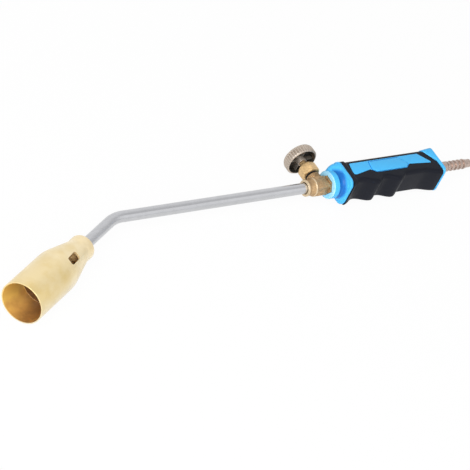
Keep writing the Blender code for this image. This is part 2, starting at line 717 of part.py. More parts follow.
def make_knob(axis):
    inner = KNOB_RADIUS - KNOB_WALL
    rings = (
        fluted_ring(inner, KNOB_BASE, 0), fluted_ring(KNOB_RADIUS - KNOB_CHAMFER, KNOB_BASE, 0),
        fluted_ring(KNOB_RADIUS, KNOB_BASE + KNOB_CHAMFER, 1),
        fluted_ring(KNOB_RADIUS, KNOB_FACE - KNOB_CROWN, 1),
        fluted_ring(KNOB_RADIUS - KNOB_CROWN / 2, KNOB_FACE, 0), fluted_ring(inner - KNOB_CROWN / 2, KNOB_FACE, 0),
    )
    knob = dress(skinned("knob", rings, axis, True), finish("knob_nickel", (0.66, 0.58, 0.50), 0.35, 1))
    face = KNOB_FACE - KNOB_PLATE_SETBACK
    under = face - KNOB_PLATE
    bore = SPINDLE_END_RADIUS + FIT_GAP
    plate = (
        (face, KNOB_RECESS_RADIUS), (face, KNOB_RADIUS - KNOB_WALL - KNOB_FLUTE_DEPTH / 2),
        (under, KNOB_RADIUS - KNOB_WALL / 2 - KNOB_FLUTE_DEPTH / 2),
        (under, KNOB_HUB_RADIUS), (HUB_BASE, KNOB_HUB_RADIUS), (HUB_BASE, bore),
        (RECESS_FLOOR, bore), (RECESS_FLOOR, KNOB_RECESS_RADIUS),
    )
    web = turned("knob_plate", plate, axis, VALVE_STEPS)
    return join(knob, web, *[make_knob_rib(index, axis) for index in range(KNOB_RIBS)])


def make_knob_fastening(axis):
    base = RECESS_FLOOR + FIT_GAP
    top = base + WASHER_THICKNESS
    clear = SCREW_SHANK_RADIUS + FIT_GAP
    washer = ring("knob_washer", base, top, clear, WASHER_RADIUS, axis, SMALL_STEPS)
    dress(washer, steel("washer_steel"))
    seat = top + FIT_GAP
    crown = seat + SCREW_HEAD_HEIGHT
    shank = RECESS_FLOOR - SCREW_SHANK_LENGTH + FIT_GAP
    profile = (
        (shank, 0), (shank, SCREW_SHANK_RADIUS), (seat, SCREW_SHANK_RADIUS), (seat, SCREW_HEAD_RADIUS),
        ((seat + crown) / 2, SCREW_HEAD_RADIUS), (crown, SCREW_HEAD_RADIUS * 2 / 3), (crown, 0),
    )
    screw = dress(turned("knob_screw", profile, axis, SMALL_STEPS), steel("screw_steel"))
    reach = SCREW_HEAD_RADIUS + CUT_OVERRUN
    half = SCREW_SLOT_WIDTH / 2
    slot = block("screw_slot", (-reach, -half, crown - SCREW_SLOT_DEPTH), (reach, half, crown + CUT_OVERRUN), axis)
    cut(screw, slot)


# Handle

def pad_outline(shares, clearance):
    corners = [(GRIP_SPAN * along, GRIP_HALF * across) for along, across in shares]
    return fillet_outline(offset_outline(corners, clearance), PAD_CORNER + clearance, CORNER_STEPS)


def make_pad(name, shares, clearance, low, high, side, parent):
    return prism(name, pad_outline(shares, clearance), side * low, side * high, parent)


def rear_wedge(name, clearance, parent):
    # The flange is thin on the finger side and deepens in a slope towards the knob side.
    knee = REAR_KNEE_SHARE * REAR_HALF
    edge = GRIP_SIDE + CUT_OVERRUN
    slope_clearance = clearance * math.hypot(1, REAR_SLOPE_SHARE)
    thin = GRIP_SPAN - REAR_THICKNESS - clearance
    slope_start = GRIP_SPAN - REAR_THICKNESS - slope_clearance
    deep = slope_start - REAR_SLOPE_SHARE * (edge - knee)
    corner = knee - (slope_clearance - clearance) / REAR_SLOPE_SHARE
    reach = edge * 2
    end = GRIP_SPAN + CUT_OVERRUN
    outline = ((end, -reach), (end, edge), (deep, edge), (thin, corner), (thin, -reach))
    return prism(name, outline, -edge, edge, parent)


def flange_reach(turn):
    # How far the front flange's rounded square reaches from the axis in one direction.
    across, up = abs(math.cos(turn)), abs(math.sin(turn))
    edge = FLANGE_HALF - FLANGE_ROUND
    centre = edge - FLANGE_CORNER
    if min(across, up) * edge <= max(across, up) * centre:
        return edge / max(across, up)
    both = centre * (across + up)
    return both + math.sqrt(both ** 2 - 2 * centre ** 2 + FLANGE_CORNER ** 2)


def make_collar_flare(parent, foot_radius):
    # Widens from the collar to the square of the front flange: in a short hollow curve on the finger side,
    # and in a longer, swelling ramp on the side of the knob.
    turns = [2 * math.pi * side / VALVE_STEPS for side in range(VALVE_STEPS)]

    def ring(share):
        points = []
        for turn in turns:
            ramp = smooth_rise(math.cos(turn) / KNOB_SIDE_SHARE)
            length = COLLAR_FLARE_LENGTH + (KNOB_FLARE_LENGTH - COLLAR_FLARE_LENGTH) * ramp
            swing = share * math.pi / 2
            run = share * ramp + math.sin(swing) * (1 - ramp)
            swell = 1 - (1 - share) ** KNOB_FLARE_POWER
            rise = swell * ramp + (1 - math.cos(swing)) * (1 - ramp)
            radius = foot_radius + (flange_reach(turn) - foot_radius) * rise
            points.append((length * (run - 1), radius * math.cos(turn), radius * math.sin(turn)))
        return points

    foot, crown = ring(0), ring(1)
    rings = [[(COLLAR_ROUND - COLLAR_LENGTH, y, z) for _, y, z in foot]]
    rings += [ring(step / FLARE_STEPS) for step in range(FLARE_STEPS)] + [crown]
    rings.append([(FLANGE_THICKNESS / 3, y, z) for _, y, z in crown])
    return skinned("collar_flare", rings, parent, False)


def make_front_flange(parent):
    outline = rounded_box_outline(-FLANGE_HALF, FLANGE_HALF, FLANGE_HALF, FLANGE_CORNER)
    square_to_x = (math.pi / 2, 0, math.pi / 2)
    plate = prism("front_flange", outline, 0, FLANGE_THICKNESS, parent, rotation=square_to_x)
    bevel = plate.modifiers.new("rim", "BEVEL")
    bevel.width = FLANGE_ROUND
    bevel.segments = 1
    bevel.limit_method = "ANGLE"
    bevel.angle_limit = SHARP_ANGLE
    return plate


def make_rear_flange(parent):
    # It widens to the rear, except on the finger side.
    front = GRIP_SPAN - REAR_HALF
    front_half = REAR_HALF - REAR_TAPER
    front_outline = rounded_box_outline(-REAR_SIDE, front_half, front_half, REAR_CORNER - REAR_TAPER)
    rear_outline = rounded_box_outline(-REAR_SIDE, REAR_HALF, REAR_HALF, REAR_CORNER)
    rings = [[(front, y, z) for y, z in front_outline], [(GRIP_SPAN, y, z) for y, z in rear_outline]]
    return skinned("rear_flange", rings, parent, False)


def make_handle_core(parent):
    along = (0, math.pi / 2, 0)
    front = -COLLAR_LENGTH
    groove = COLLAR_RADIUS - COLLAR_GROOVE_DEPTH
    groove_start = -COLLAR_FLARE_LENGTH - COLLAR_GROOVE_WIDTH
    profile = (
        (front, 0), (front, COLLAR_RADIUS - COLLAR_ROUND), (front + COLLAR_ROUND, COLLAR_RADIUS),
        (groove_start, COLLAR_RADIUS), (groove_start + COLLAR_GROOVE_DEPTH, groove),
        (FLANGE_THICKNESS / 2, groove), (FLANGE_THICKNESS / 2, 0),
    )
    core = turned("handle_core", profile, parent, VALVE_STEPS, rotation=along)
    dress(core, blue_plastic("core_blue"))
    flange = make_front_flange(parent)
    stem_end = GRIP_SPAN - REAR_THICKNESS / 2
    stem = rod("core_stem", front / 2, stem_end, CORE_RADIUS, parent, VALVE_STEPS, rotation=along)
    boss_radius = REAR_RECESS_RADIUS + REAR_BOSS_WALL
    boss_end = GRIP_SPAN - REAR_THICKNESS / 3
    boss = rod("core_rear_boss", rear_boss_start(), boss_end, boss_radius, parent, VALVE_STEPS, rotation=along)
    rear = keep_common(make_rear_flange(parent), rear_wedge("rear_wedge", 0, parent))
    top = GRIP_HALF + PAD_PROUD
    root = CORE_RADIUS / 2
    plaque_root = (CORE_RADIUS + GRIP_HALF) / 2
    pads = []
    for side in (1, -1):
        pads.append(make_pad("inlay", PAD_OUTLINE_SHARES, 0, root, top, side, parent))
        pads.append(make_pad("plaque", PLAQUE_OUTLINE_SHARES, 0, plaque_root, top + PLAQUE_RISE, side, parent))
    flare = make_collar_flare(parent, groove - COLLAR_ROUND / 3)
    join(core, flange, flare, stem, boss, rear, *pads)
    return cut(core, *handle_bores(parent, along))


def rear_boss_start():
    return GRIP_SPAN - REAR_RECESS_DEPTH - REAR_BOSS_FLOOR


def handle_bores(parent, along):
    front = -COLLAR_LENGTH
    pipe = rod("core_bore", front - CUT_OVERRUN, GRIP_SPAN + CUT_OVERRUN, CORE_BORE, parent, PIPE_STEPS, rotation=along)
    floor = front + POCKET_DEPTH
    clear_flats = HEX_ACROSS_FLATS + 2 * FIT_GAP
    pocket_start = front - CUT_OVERRUN
    pocket = prism("hexagon_pocket", hexagon_outline(clear_flats), pocket_start, floor, parent, rotation=along)
    recess_start = GRIP_SPAN - REAR_RECESS_DEPTH
    recess = rod(
        "tail_recess", recess_start, GRIP_SPAN + CUT_OVERRUN, REAR_RECESS_RADIUS, parent, VALVE_STEPS, rotation=along,
    )
    return pipe, pocket, recess


def groove_depth(share):
    depth = 0
    for start, end, rise, fall in GROOVE_SHARES:
        depth += GROOVE_DEPTH * smooth_rise((share - start) / rise) * smooth_rise((end - share) / fall)
    return depth


def grip_section(place):
    share = place / GRIP_SPAN
    lip_end = FLANGE_THICKNESS + LIP_LENGTH
    lip = LIP_RISE * (1 - smooth_rise((place - lip_end) / LIP_RAMP))
    half = GRIP_HALF + lip
    side = GRIP_SIDE - groove_depth(share)
    outline = rounded_box_outline(-side, half, half, GRIP_CORNER)
    return [(place, y, z) for y, z in outline]


def make_handle_grip(parent):
    start = FLANGE_THICKNESS + FIT_GAP
    end = GRIP_SPAN - REAR_THICKNESS - FIT_GAP
    places = [start + (end - start) * step / GRIP_STATIONS for step in range(GRIP_STATIONS + 1)]
    grip = skinned("handle_grip", [grip_section(place) for place in places], parent, False)
    dress(grip, black_rubber("grip_rubber"))
    along = (0, math.pi / 2, 0)
    hollow = CORE_RADIUS + FIT_GAP
    bore = rod("grip_bore", start - CUT_OVERRUN, end + CUT_OVERRUN, hollow, parent, VALVE_STEPS, rotation=along)
    boss_hollow = REAR_RECESS_RADIUS + REAR_BOSS_WALL + FIT_GAP
    boss_start = rear_boss_start() - FIT_GAP
    counterbore = rod(
        "grip_counterbore", boss_start, end + CUT_OVERRUN, boss_hollow, parent, VALVE_STEPS, rotation=along,
    )
    window_low = CORE_RADIUS / 2 - FIT_GAP
    window_high = GRIP_HALF + LIP_RISE + CUT_OVERRUN
    windows = []
    for side in (1, -1):
        windows.append(make_pad("window", PAD_OUTLINE_SHARES, FIT_GAP, window_low, window_high, side, parent))
    return cut(grip, bore, counterbore, rear_wedge("grip_rear_cut", FIT_GAP, parent), *windows)


# Supply pipe and hose tail

def make_supply_pipe(lance_axis):
    start = HEX_REAR - PIPE_INSERTION
    end = FLANGE_PLACE + TAIL_HEAD_FRONT + TAIL_SOCKET_DEPTH - FIT_GAP
    pipe = ring("supply_pipe", start, end, PIPE_RADIUS - PIPE_WALL, PIPE_RADIUS, lance_axis, PIPE_STEPS)
    return dress(pipe, steel("pipe_steel"))


def barb_profile(start):
    # Each barb climbs from its root to a sharp edge that faces the handle.
    points = []
    for index in range(BARB_COUNT):
        place = start + index * BARB_PITCH
        points.append((place, TAIL_ROOT_RADIUS))
        points.append((place + BARB_STEP_SHARE * BARB_PITCH, TAIL_ROOT_RADIUS + BARB_RISE))
    points.append((start + BARB_COUNT * BARB_PITCH, TAIL_ROOT_RADIUS))
    return points


def make_hose_tail(parent, along):
    head_end = TAIL_HEAD_FRONT + TAIL_HEAD_LENGTH
    socket_end = TAIL_HEAD_FRONT + TAIL_SOCKET_DEPTH
    socket = PIPE_RADIUS + FIT_GAP
    filter_seat = INLET_FILTER_RADIUS + FIT_GAP
    filter_end = socket_end + INLET_FILTER_LENGTH + FIT_GAP
    neck = TAIL_ROOT_RADIUS + BARB_RISE
    barbs = GRIP_SPAN + TAIL_NECK_LENGTH
    profile = [(TAIL_HEAD_FRONT, socket), (TAIL_HEAD_FRONT, TAIL_HEAD_RADIUS), (head_end, TAIL_HEAD_RADIUS)]
    profile += [(head_end, neck), (barbs, neck)]
    profile += barb_profile(barbs)
    profile += [(TAIL_TIP - TAIL_TIP_ROUND, TAIL_ROOT_RADIUS), (TAIL_TIP, TAIL_ROOT_RADIUS - TAIL_TIP_ROUND)]
    profile += [(TAIL_TIP, TAIL_BORE_RADIUS), (filter_end, TAIL_BORE_RADIUS)]
    profile += [(filter_end, filter_seat), (socket_end, filter_seat), (socket_end, socket)]
    tail = turned("hose_tail", profile, parent, VALVE_STEPS, rotation=along)
    dress(tail, finish("tail_brass", (0.60, 0.42, 0.30), 0.35, 1))
    filter_start = socket_end
    gauze = rod(
        "inlet_filter", filter_start, filter_start + INLET_FILTER_LENGTH, INLET_FILTER_RADIUS,
        parent, SMALL_STEPS, rotation=along,
    )
    dress(gauze, finish("filter_bronze", (0.45, 0.30, 0.14), 0.8, 1))
    washer_start = GRIP_SPAN - REAR_RECESS_DEPTH + FIT_GAP
    washer = ring(
        "tail_washer", washer_start, washer_start + TAIL_WASHER_LENGTH, socket, TAIL_HEAD_RADIUS,
        parent, VALVE_STEPS, rotation=along,
    )
    dress(washer, steel("tail_washer_steel"))


# Assembly

def torch_origin():
    # Puts the middle of the whole torch's box at X = Y = 0 and the bell's lowest line at Z = 0.
    mouth = GOOSENECK_LENGTH + BELL_LENGTH
    left = -mouth * math.cos(BEND_ANGLE) - BELL_RADIUS * math.sin(BEND_ANGLE)
    right = FLANGE_PLACE + TAIL_TIP
    near = -mouth * math.sin(BEND_ANGLE) - BELL_RADIUS * math.cos(BEND_ANGLE)
    screw_top = RECESS_FLOOR + FIT_GAP + WASHER_THICKNESS + FIT_GAP + SCREW_HEAD_HEIGHT
    far = max(screw_top, KNOB_FACE)
    return (-(left + right) / 2, -(near + far) / 2, BELL_RADIUS)


def build():
    clear_scene()
    torch = empty("torch", location=torch_origin())
    lance_axis = empty("lance_axis", torch, rotation=(0, math.pi / 2, 0))
    heading = Vector((math.cos(BEND_ANGLE), math.sin(BEND_ANGLE), 0))
    bell_seat = empty(
        "bell_axis", torch, -GOOSENECK_LENGTH * heading, (0, math.pi / 2, math.pi + BEND_ANGLE),
    )
    spindle_axis = empty("spindle_axis", torch, (SPINDLE_PLACE, 0, 0), (-math.pi / 2, 0, 0))
    knob_axis = empty("knob_axis", spindle_axis)
    handle = empty("handle_axis", torch, (FLANGE_PLACE, 0, 0))
    make_bell_mouth_tube(bell_seat)
    make_bell_cone(bell_seat)
    make_jet_parts(bell_seat)
    make_lance_tube(torch)
    make_brazing_ring(lance_axis)
    make_valve_body(lance_axis, spindle_axis)
    make_gland(spindle_axis)
    make_seat_plug(spindle_axis)
    make_spindle(knob_axis)
    make_knob(knob_axis)
    make_knob_fastening(knob_axis)
    make_handle_core(handle)
    make_handle_grip(handle)
    make_supply_pipe(lance_axis)
    make_hose_tail(handle, (0, math.pi / 2, 0))


build()
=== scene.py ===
import json
import math

import bmesh
import bpy
from mathutils import Matrix, Vector


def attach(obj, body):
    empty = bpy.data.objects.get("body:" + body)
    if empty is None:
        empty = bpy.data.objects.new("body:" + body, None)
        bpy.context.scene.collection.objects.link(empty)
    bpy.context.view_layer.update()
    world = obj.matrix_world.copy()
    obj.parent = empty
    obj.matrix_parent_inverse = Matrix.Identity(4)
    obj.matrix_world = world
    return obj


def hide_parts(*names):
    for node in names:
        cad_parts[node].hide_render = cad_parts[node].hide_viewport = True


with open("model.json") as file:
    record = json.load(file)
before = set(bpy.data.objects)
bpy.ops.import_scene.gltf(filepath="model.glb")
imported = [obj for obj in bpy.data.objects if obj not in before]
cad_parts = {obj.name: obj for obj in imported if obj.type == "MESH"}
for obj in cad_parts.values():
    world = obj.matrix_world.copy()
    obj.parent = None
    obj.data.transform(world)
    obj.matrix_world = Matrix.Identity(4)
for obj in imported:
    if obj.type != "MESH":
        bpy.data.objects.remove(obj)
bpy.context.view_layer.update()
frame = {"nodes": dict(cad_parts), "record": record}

print("frame loaded:", len(frame["nodes"]), "nodes")

# Places are counted along the lance, from the corner where the axes of its two straight runs meet
torch = {
    "corner": (-0.121388, 0.021699, 0.0175),
    "bend": math.radians(29.7),
    "bendRadius": 0.028,
    "bellSeat": 0.0453,
    "lanceEnd": 0.1856,
    "tubeInsertion": 0.0080,
    "spindlePlace": 0.2007,
    "handlePlace": 0.2208,
    "pipeBore": 0.0053,
    "gap": 0.0003,
    "cutOver": 0.001,
    "boreSteps": 48,
}
gap, cutOver, boreSteps = torch["gap"], torch["cutOver"], torch["boreSteps"]
heading = Vector((math.cos(torch["bend"]), math.sin(torch["bend"]), 0))
corner = Matrix.Translation(torch["corner"])
quarterTurn = Matrix.Rotation(math.pi / 2, 4, "Y")
lanceAxis = corner @ quarterTurn
bellAxis = corner @ Matrix.Translation(-torch["bellSeat"] * heading)
bellAxis = bellAxis @ Matrix.Rotation(math.pi + torch["bend"], 4, "Z") @ quarterTurn
spindleAxis = corner @ Matrix.Translation((torch["spindlePlace"], 0, 0))
spindleAxis = spindleAxis @ Matrix.Rotation(-math.pi / 2, 4, "X")
handleAxis = corner @ Matrix.Translation((torch["handlePlace"], 0, 0))
handleTurned = handleAxis @ quarterTurn


# Node trees

class Wire:
    # One output of a node: an expression on wires adds its Math nodes
    def __init__(self, nodes, socket):
        self.nodes, self.socket = nodes, socket

    def maths(self, operation, *others):
        return self.nodes.maths(operation, self, *others)

    def __add__(self, other):
        return self.maths("ADD", other)

    def __sub__(self, other):
        return self.maths("SUBTRACT", other)

    def __rsub__(self, other):
        return self.nodes.maths("SUBTRACT", other, self)

    def __mul__(self, other):
        return self.maths("MULTIPLY", other)

    def __truediv__(self, other):
        return self.maths("DIVIDE", other)

    def __pow__(self, power):
        return self.maths("POWER", power)

    def __gt__(self, other):
        return self.maths("GREATER_THAN", other)

    def __lt__(self, other):
        return self.maths("LESS_THAN", other)

    def larger(self, other):
        return self.maths("MAXIMUM", other)

    def clamped(self):
        return self.larger(0).maths("MINIMUM", 1)

    __radd__, __rmul__ = __add__, __mul__


class Nodes:
    # Adds nodes to a tree: settings come first, then the values or wires of the sockets
    def __init__(self, tree):
        self.tree = tree

    def add(self, kind, settings=None, values=None, out=0):
        node = self.tree.nodes.new(kind)
        for key, value in (settings or {}).items():
            if key == "stops":
                self.setStops(node.color_ramp, value)
            else:
                setattr(node, key, value)
        self.feed(node, values or {})
        return Wire(self, node.outputs[out])

    def feed(self, node, values):
        for key, value in values.items():
            if isinstance(value, Wire):
                self.tree.links.new(value.socket, node.inputs[key])
            else:
                node.inputs[key].default_value = value

    def setStops(self, ramp, stops):
        while len(ramp.elements) < len(stops):
            ramp.elements.new(1)
        for element, (place, colour) in zip(ramp.elements, stops):
            element.position = place
            element.color = (*colour, 1)

    def maths(self, operation, *values):
        return self.add("ShaderNodeMath", {"operation": operation}, dict(enumerate(values)))

    def vectors(self, operation, first, second, out=0):
        return self.add("ShaderNodeVectorMath", {"operation": operation}, {0: first, 1: second}, out)

    def dot(self, first, second):
        return self.vectors("DOT_PRODUCT", first, second, "Value")

    def scaled(self, vector, factor):
        return self.add("ShaderNodeVectorMath", {"operation": "SCALE"}, {0: vector, "Scale": factor})

    def split(self, vector):
        node = self.add("ShaderNodeSeparateXYZ", None, {0: vector}).socket.node
        return [Wire(self, socket) for socket in node.outputs]

    def ramp(self, factor, *stops):
        return self.add("ShaderNodeValToRGB", {"stops": stops}, {"Fac": factor})

    def mixed(self, factor, first, second):
        first, second = [value if isinstance(value, Wire) else (*value, 1) for value in (first, second)]
        return self.add("ShaderNodeMix", {"data_type": "RGBA"}, {0: factor, 6: first, 7: second}, 2)

    def noise(self, where, scale, detail=3, roughness=0.55):
        values = {"Vector": where, "Scale": scale, "Detail": detail, "Roughness": roughness}
        return self.add("ShaderNodeTexNoise", None, values)

    def bump(self, height, distance, strength=1.0):
        values = {"Height": height, "Distance": distance, "Strength": strength}
        return self.add("ShaderNodeBump", None, values)


# Finishes: the shared ones are here, and each piece's own stands beside it

finishes = {}
black, white = (0, 0, 0), (1, 1, 1)


def newFinish(name, constants):
    material = bpy.data.materials.new(name)
    material.use_nodes = True
    nodes = Nodes(material.node_tree)
    shader = material.node_tree.nodes["Principled BSDF"]
    for key, value in constants.items():
        shader.inputs[key].default_value = value
    where = nodes.add("ShaderNodeTexCoord", out="Object")
    return material, nodes, shader, where


def scaledColour(colour, factor):
    return tuple(min(1, part * factor) for part in colour)


def castMetal(name, colour, roughness, grain=900, pit=0.00006, rubbed=(1.25, 1.15, 0.95), metallic=1.0,
              rings=None):
    # Forged, cast or machined metal with fine pits and brighter rubbed patches, and painted highlight rings
    # where rings are given
    material, nodes, shader, where = newFinish(name, {"Metallic": metallic})
    cloudScale, dullness, contrast, threshold = 140, 0.64, 1.2, 0.7
    cloud = nodes.noise(where, cloudScale, 4)
    grit = nodes.noise(where, grain, 3, 0.65)
    bright = tuple(min(1, part * factor) for part, factor in zip(colour, rubbed))
    shade = nodes.mixed((cloud + grit) * contrast - threshold, scaledColour(colour, dullness), bright)
    if rings:
        # Painted highlight on the socket lip and the band crest
        shade = nodes.mixed(highlightRings(nodes, where) * (0.25 + 0.4 * cloud), shade, rings)
    nodes.feed(shader, {
        "Base Color": shade,
        "Roughness": roughness + 0.16 * (grit - 0.5),
        "Normal": nodes.bump(grit + cloud * 0.6, pit),
    })
    return material


def rubberFinish(name, colour):
    # Matt rubber: fine grain, and patches that handling has made a little smoother
    material, nodes, shader, where = newFinish(name, {"Metallic": 0.0, "Specular IOR Level": 0.17})
    cloudScale, grainScale, grainDepth, paleness, roughness = 70, 2600, 0.00005, 1.6, 0.5
    cloud = nodes.noise(where, cloudScale, 4)
    grain = nodes.add("ShaderNodeTexVoronoi", None, {"Vector": where, "Scale": grainScale}, "Distance")
    nodes.feed(shader, {
        "Base Color": nodes.mixed(cloud, colour, scaledColour(colour, paleness)),
        "Roughness": roughness + 0.18 * (cloud - 0.5),
        "Normal": nodes.bump(grain, grainDepth, strength=0.6),
    })
    return material


# Shapes

def linked(name, data):
    made = bpy.data.objects.new(name, data)
    bpy.context.scene.collection.objects.link(made)
    return made


def shaded(mesh, sharp):
    mesh.shade_smooth()
    mesh.set_sharp_from_angle(angle=math.radians(sharp))


def objectFrom(name, bm, axis):
    weldDistance = 0.0000005
    bmesh.ops.remove_doubles(bm, verts=bm.verts, dist=weldDistance)
    bmesh.ops.recalc_face_normals(bm, faces=bm.faces)
    mesh = bpy.data.meshes.new(name)
    bm.to_mesh(mesh)
    bm.free()
    mesh.transform(axis)
    shaded(mesh, sharp=32)
    return linked(name, mesh)


def softened(outline, radius, steps=3):
    # Rounds the corners of a closed outline, except on the axis; a point's third value is its own radius
    nearlyStraight, mostOfSide, mostForOwn = 3.1, 0.48, 0.9
    made = []
    for i, point in enumerate(outline):
        here, own = Vector(point[:2]), point[2] if len(point) > 2 else radius
        back, ahead = Vector(outline[i - 1][:2]) - here, Vector(outline[(i + 1) % len(outline)][:2]) - here
        if point[1] == 0 or back.angle(ahead) > nearlyStraight:
            made.append(tuple(here))
            continue
        most = mostForOwn if len(point) > 2 else mostOfSide
        reach = min(own / math.tan(back.angle(ahead) / 2), back.length * most, ahead.length * most)
        start, end = here + back.normalized() * reach, here + ahead.normalized() * reach
        for step in range(steps + 1):
            share = step / steps
            made.append(tuple(start.lerp(here, share).lerp(here.lerp(end, share), share)))
    return made


def turned(name, profile, steps, axis):
    # The profile is a closed outline of (place along Z, radius), revolved about Z
    bm = bmesh.new()
    verts = [bm.verts.new((radius, 0, place)) for place, radius in profile]
    pairs = zip(verts, verts[1:] + verts[:1])
    edges = [bm.edges.new(pair) for pair in pairs if pair[0].co.x or pair[1].co.x]
    bmesh.ops.spin(bm, geom=verts + edges, axis=(0, 0, 1), cent=(0, 0, 0), angle=2 * math.pi,
                   steps=steps, use_merge=True)
    return objectFrom(name, bm, axis)


def rod(name, start, end, radius, steps, axis):
    return turned(name, ((start, 0), (start, radius), (end, radius), (end, 0)), steps, axis)


def skinned(name, rings, axis, closed=False):
    bm = bmesh.new()
    rows = [[bm.verts.new(point) for point in points] for points in rings]
    if not closed:
        bm.faces.new(rows[0])
        bm.faces.new(rows[-1])
    for first, second in zip(rows, rows[1:] + (rows[:1] if closed else [])):
        for i in range(len(first)):
            j = (i + 1) % len(first)
            bm.faces.new((first[i], first[j], second[j], second[i]))
    return objectFrom(name, bm, axis)


def prism(name, outline, low, high, axis):
    return skinned(name, [[(x, y, low) for x, y in outline], [(x, y, high) for x, y in outline]], axis)


def rectangle(start, end, half):
    return [(start, -half), (end, -half), (end, half), (start, half)]


def hexagon(acrossFlats, turn=0.0):
    reach = acrossFlats / math.sqrt(3)
    angles = [math.pi * (i + 0.5) / 3 + turn for i in range(6)]
    return [(reach * math.cos(angle), reach * math.sin(angle)) for angle in angles]


def roundedBox(lowY, highY, halfZ, radius, steps=8):
    points = []
    highs, lows, side = highY - radius, lowY + radius, halfZ - radius
    for quarter, (y, z) in enumerate(((highs, side), (lows, side), (lows, -side), (highs, -side))):
        for step in range(steps + 1):
            angle = math.pi / 2 * (quarter + step / steps)
            points.append((y + radius * math.cos(angle), z + radius * math.sin(angle)))
    return points


def applied(piece):
    # Turns a piece with its modifiers into a plain mesh
    graph = bpy.context.evaluated_depsgraph_get()
    mesh = bpy.data.meshes.new_from_object(piece.evaluated_get(graph))
    piece.modifiers.clear()
    piece.data = mesh
    return piece


def combined(piece, operation, *helpers):
    for helper in helpers:
        modifier = piece.modifiers.new(helper.name, "BOOLEAN")
        modifier.operation, modifier.solver, modifier.object = operation, "EXACT", helper
        applied(piece)
        bpy.data.objects.remove(helper, do_unlink=True)
    return piece


def joined(piece, *helpers):
    return combined(piece, "UNION", *helpers)


def cut(piece, *helpers):
    return combined(piece, "DIFFERENCE", *helpers)


def kept(piece, *helpers):
    return combined(piece, "INTERSECT", *helpers)


def bevelled(piece, width, segments=2, angle=32):
    modifier = piece.modifiers.new("edges", "BEVEL")
    modifier.width, modifier.segments = width, segments
    modifier.limit_method, modifier.angle_limit = "ANGLE", math.radians(angle)
    modifier.miter_outer, modifier.use_clamp_overlap = "MITER_ARC", True
    applied(piece)
    shaded(piece.data, sharp=40)
    return piece


def placed(piece, body, slot, *nodes, finish=None):
    # Gives a finished piece its finish, its body and the CAD nodes that it stands for
    piece.data.materials.clear()
    piece.data.materials.append(finishes[finish or slot])
    if nodes:
        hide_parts(*nodes)
    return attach(piece, body)


def merged(name, *pieces):
    # Several closed shells as one object
    bm = bmesh.new()
    for piece in pieces:
        bm.from_mesh(piece.data)
        bpy.data.objects.remove(piece, do_unlink=True)
    mesh = bpy.data.meshes.new(name)
    bm.to_mesh(mesh)
    bm.free()
    shaded(mesh, sharp=40)
    return linked(name, mesh)


# Geometry Nodes

def newTree(name, inputs):
    # A tree with a named input for each size, after the geometry and before the material
    tree = bpy.data.node_groups.new(name, "GeometryNodeTree")
    tree.interface.new_socket("Geometry", in_out="OUTPUT", socket_type="NodeSocketGeometry")
    tree.interface.new_socket("Geometry", in_out="INPUT", socket_type="NodeSocketGeometry")
    for label, kind in inputs.items():
        tree.interface.new_socket(label, in_out="INPUT", socket_type="NodeSocket" + kind)
    tree.interface.new_socket("Material", in_out="INPUT", socket_type="NodeSocketMaterial")
    nodes = Nodes(tree)
    entry = nodes.add("NodeGroupInput").socket.node
    return tree, nodes, {socket.name: Wire(nodes, socket) for socket in entry.outputs if socket.name}


def closeTree(nodes, wires, geometry):
    whole = nodes.add("GeometryNodeRealizeInstances", None, {"Geometry": geometry})
    whole = nodes.add("GeometryNodeSetMaterial", None, {"Geometry": whole, "Material": wires["Material"]})
    end = nodes.tree.nodes.new("NodeGroupOutput")
    nodes.feed(end, {"Geometry": whole})


def grown(piece, tree, inputs, slot):
    # Runs a tree on a piece and keeps the result as its plain mesh
    modifier = piece.modifiers.new(tree.name, "NODES")
    modifier.node_group = tree
    values = {**inputs, "Material": finishes[slot]}
    for socket in tree.interface.items_tree:
        if socket.in_out == "INPUT" and socket.name in values:
            modifier[socket.identifier] = values[socket.name]
    return applied(piece)


# Bell burner

bell = {
    "neckLength": 0.0100, "neckRadius": 0.0105, "neckShoulder": 0.0026, "neckWaist": 0.0102,
    "neckBore": 0.0070, "coneLength": 0.0285, "coneWall": 0.0029, "boreStart": 0.0114,
    "radius": 0.0175, "seam": 0.0435, "length": 0.0875, "mouthWall": 0.0010, "seamGap": 0.00001,
    "spigotRadius": 0.0162, "spigotBore": 0.0157, "spigotEnd": 0.0615, "steps": 112,
    "slotCount": 4, "slotLength": 0.0142, "slotWidth": 0.0066, "slotCorner": 0.0024,
    "slotPlace": 0.03209, "slotTurn": math.radians(-24), "slotRound": 0.0005,
    "rimRound": 0.00015, "seamRound": 0.00002, "edgeRound": 0.0003,
    "lipRun": 0.3, "lipDrop": 0.35, "lipRound": 0.002, "shoulderRound": 0.003,
    "neckRound": 0.004, "waistRound": 0.007, "coneRound": 0.034,
}
# Places are distances from the bell's seat, and a rate is one over the length of a fade or a mark.
# A limit is held against a point's radius times the cosine between its normal and the way outwards.
bellLook = {
    "outside": (0.95, 0.80, 0.50), "tarnish": (0.84, 0.65, 0.29), "blush": (0.94, 0.68, 0.40),
    "reflectedGrey": (0.74, 0.70, 0.56), "gold": (1.0, 0.66, 0.16), "amber": (0.74, 0.41, 0.11),
    "brown": (0.36, 0.18, 0.055), "throatShade": (0.25, 0.115, 0.036), "slotWall": (0.62, 0.45, 0.22),
    "shadedSide": (0.7, 0.71, 0), "neckBlush": 0.016, "waistPlace": 0.026, "flankStart": 0.006,
    "flankLimit": 0.005, "inwardLimit": -0.002, "fadeRate": 120, "reflectedGreyRate": 45, "shadedSideRate": 44,
    "heatMiddle": 0.60, "deepShade": 0.85, "latheRate": 5200, "latheDepth": 0.00003,
    "cloudScale": 55, "blotchScale": 95, "metallic": 0.75, "roughness": 0.34,
}


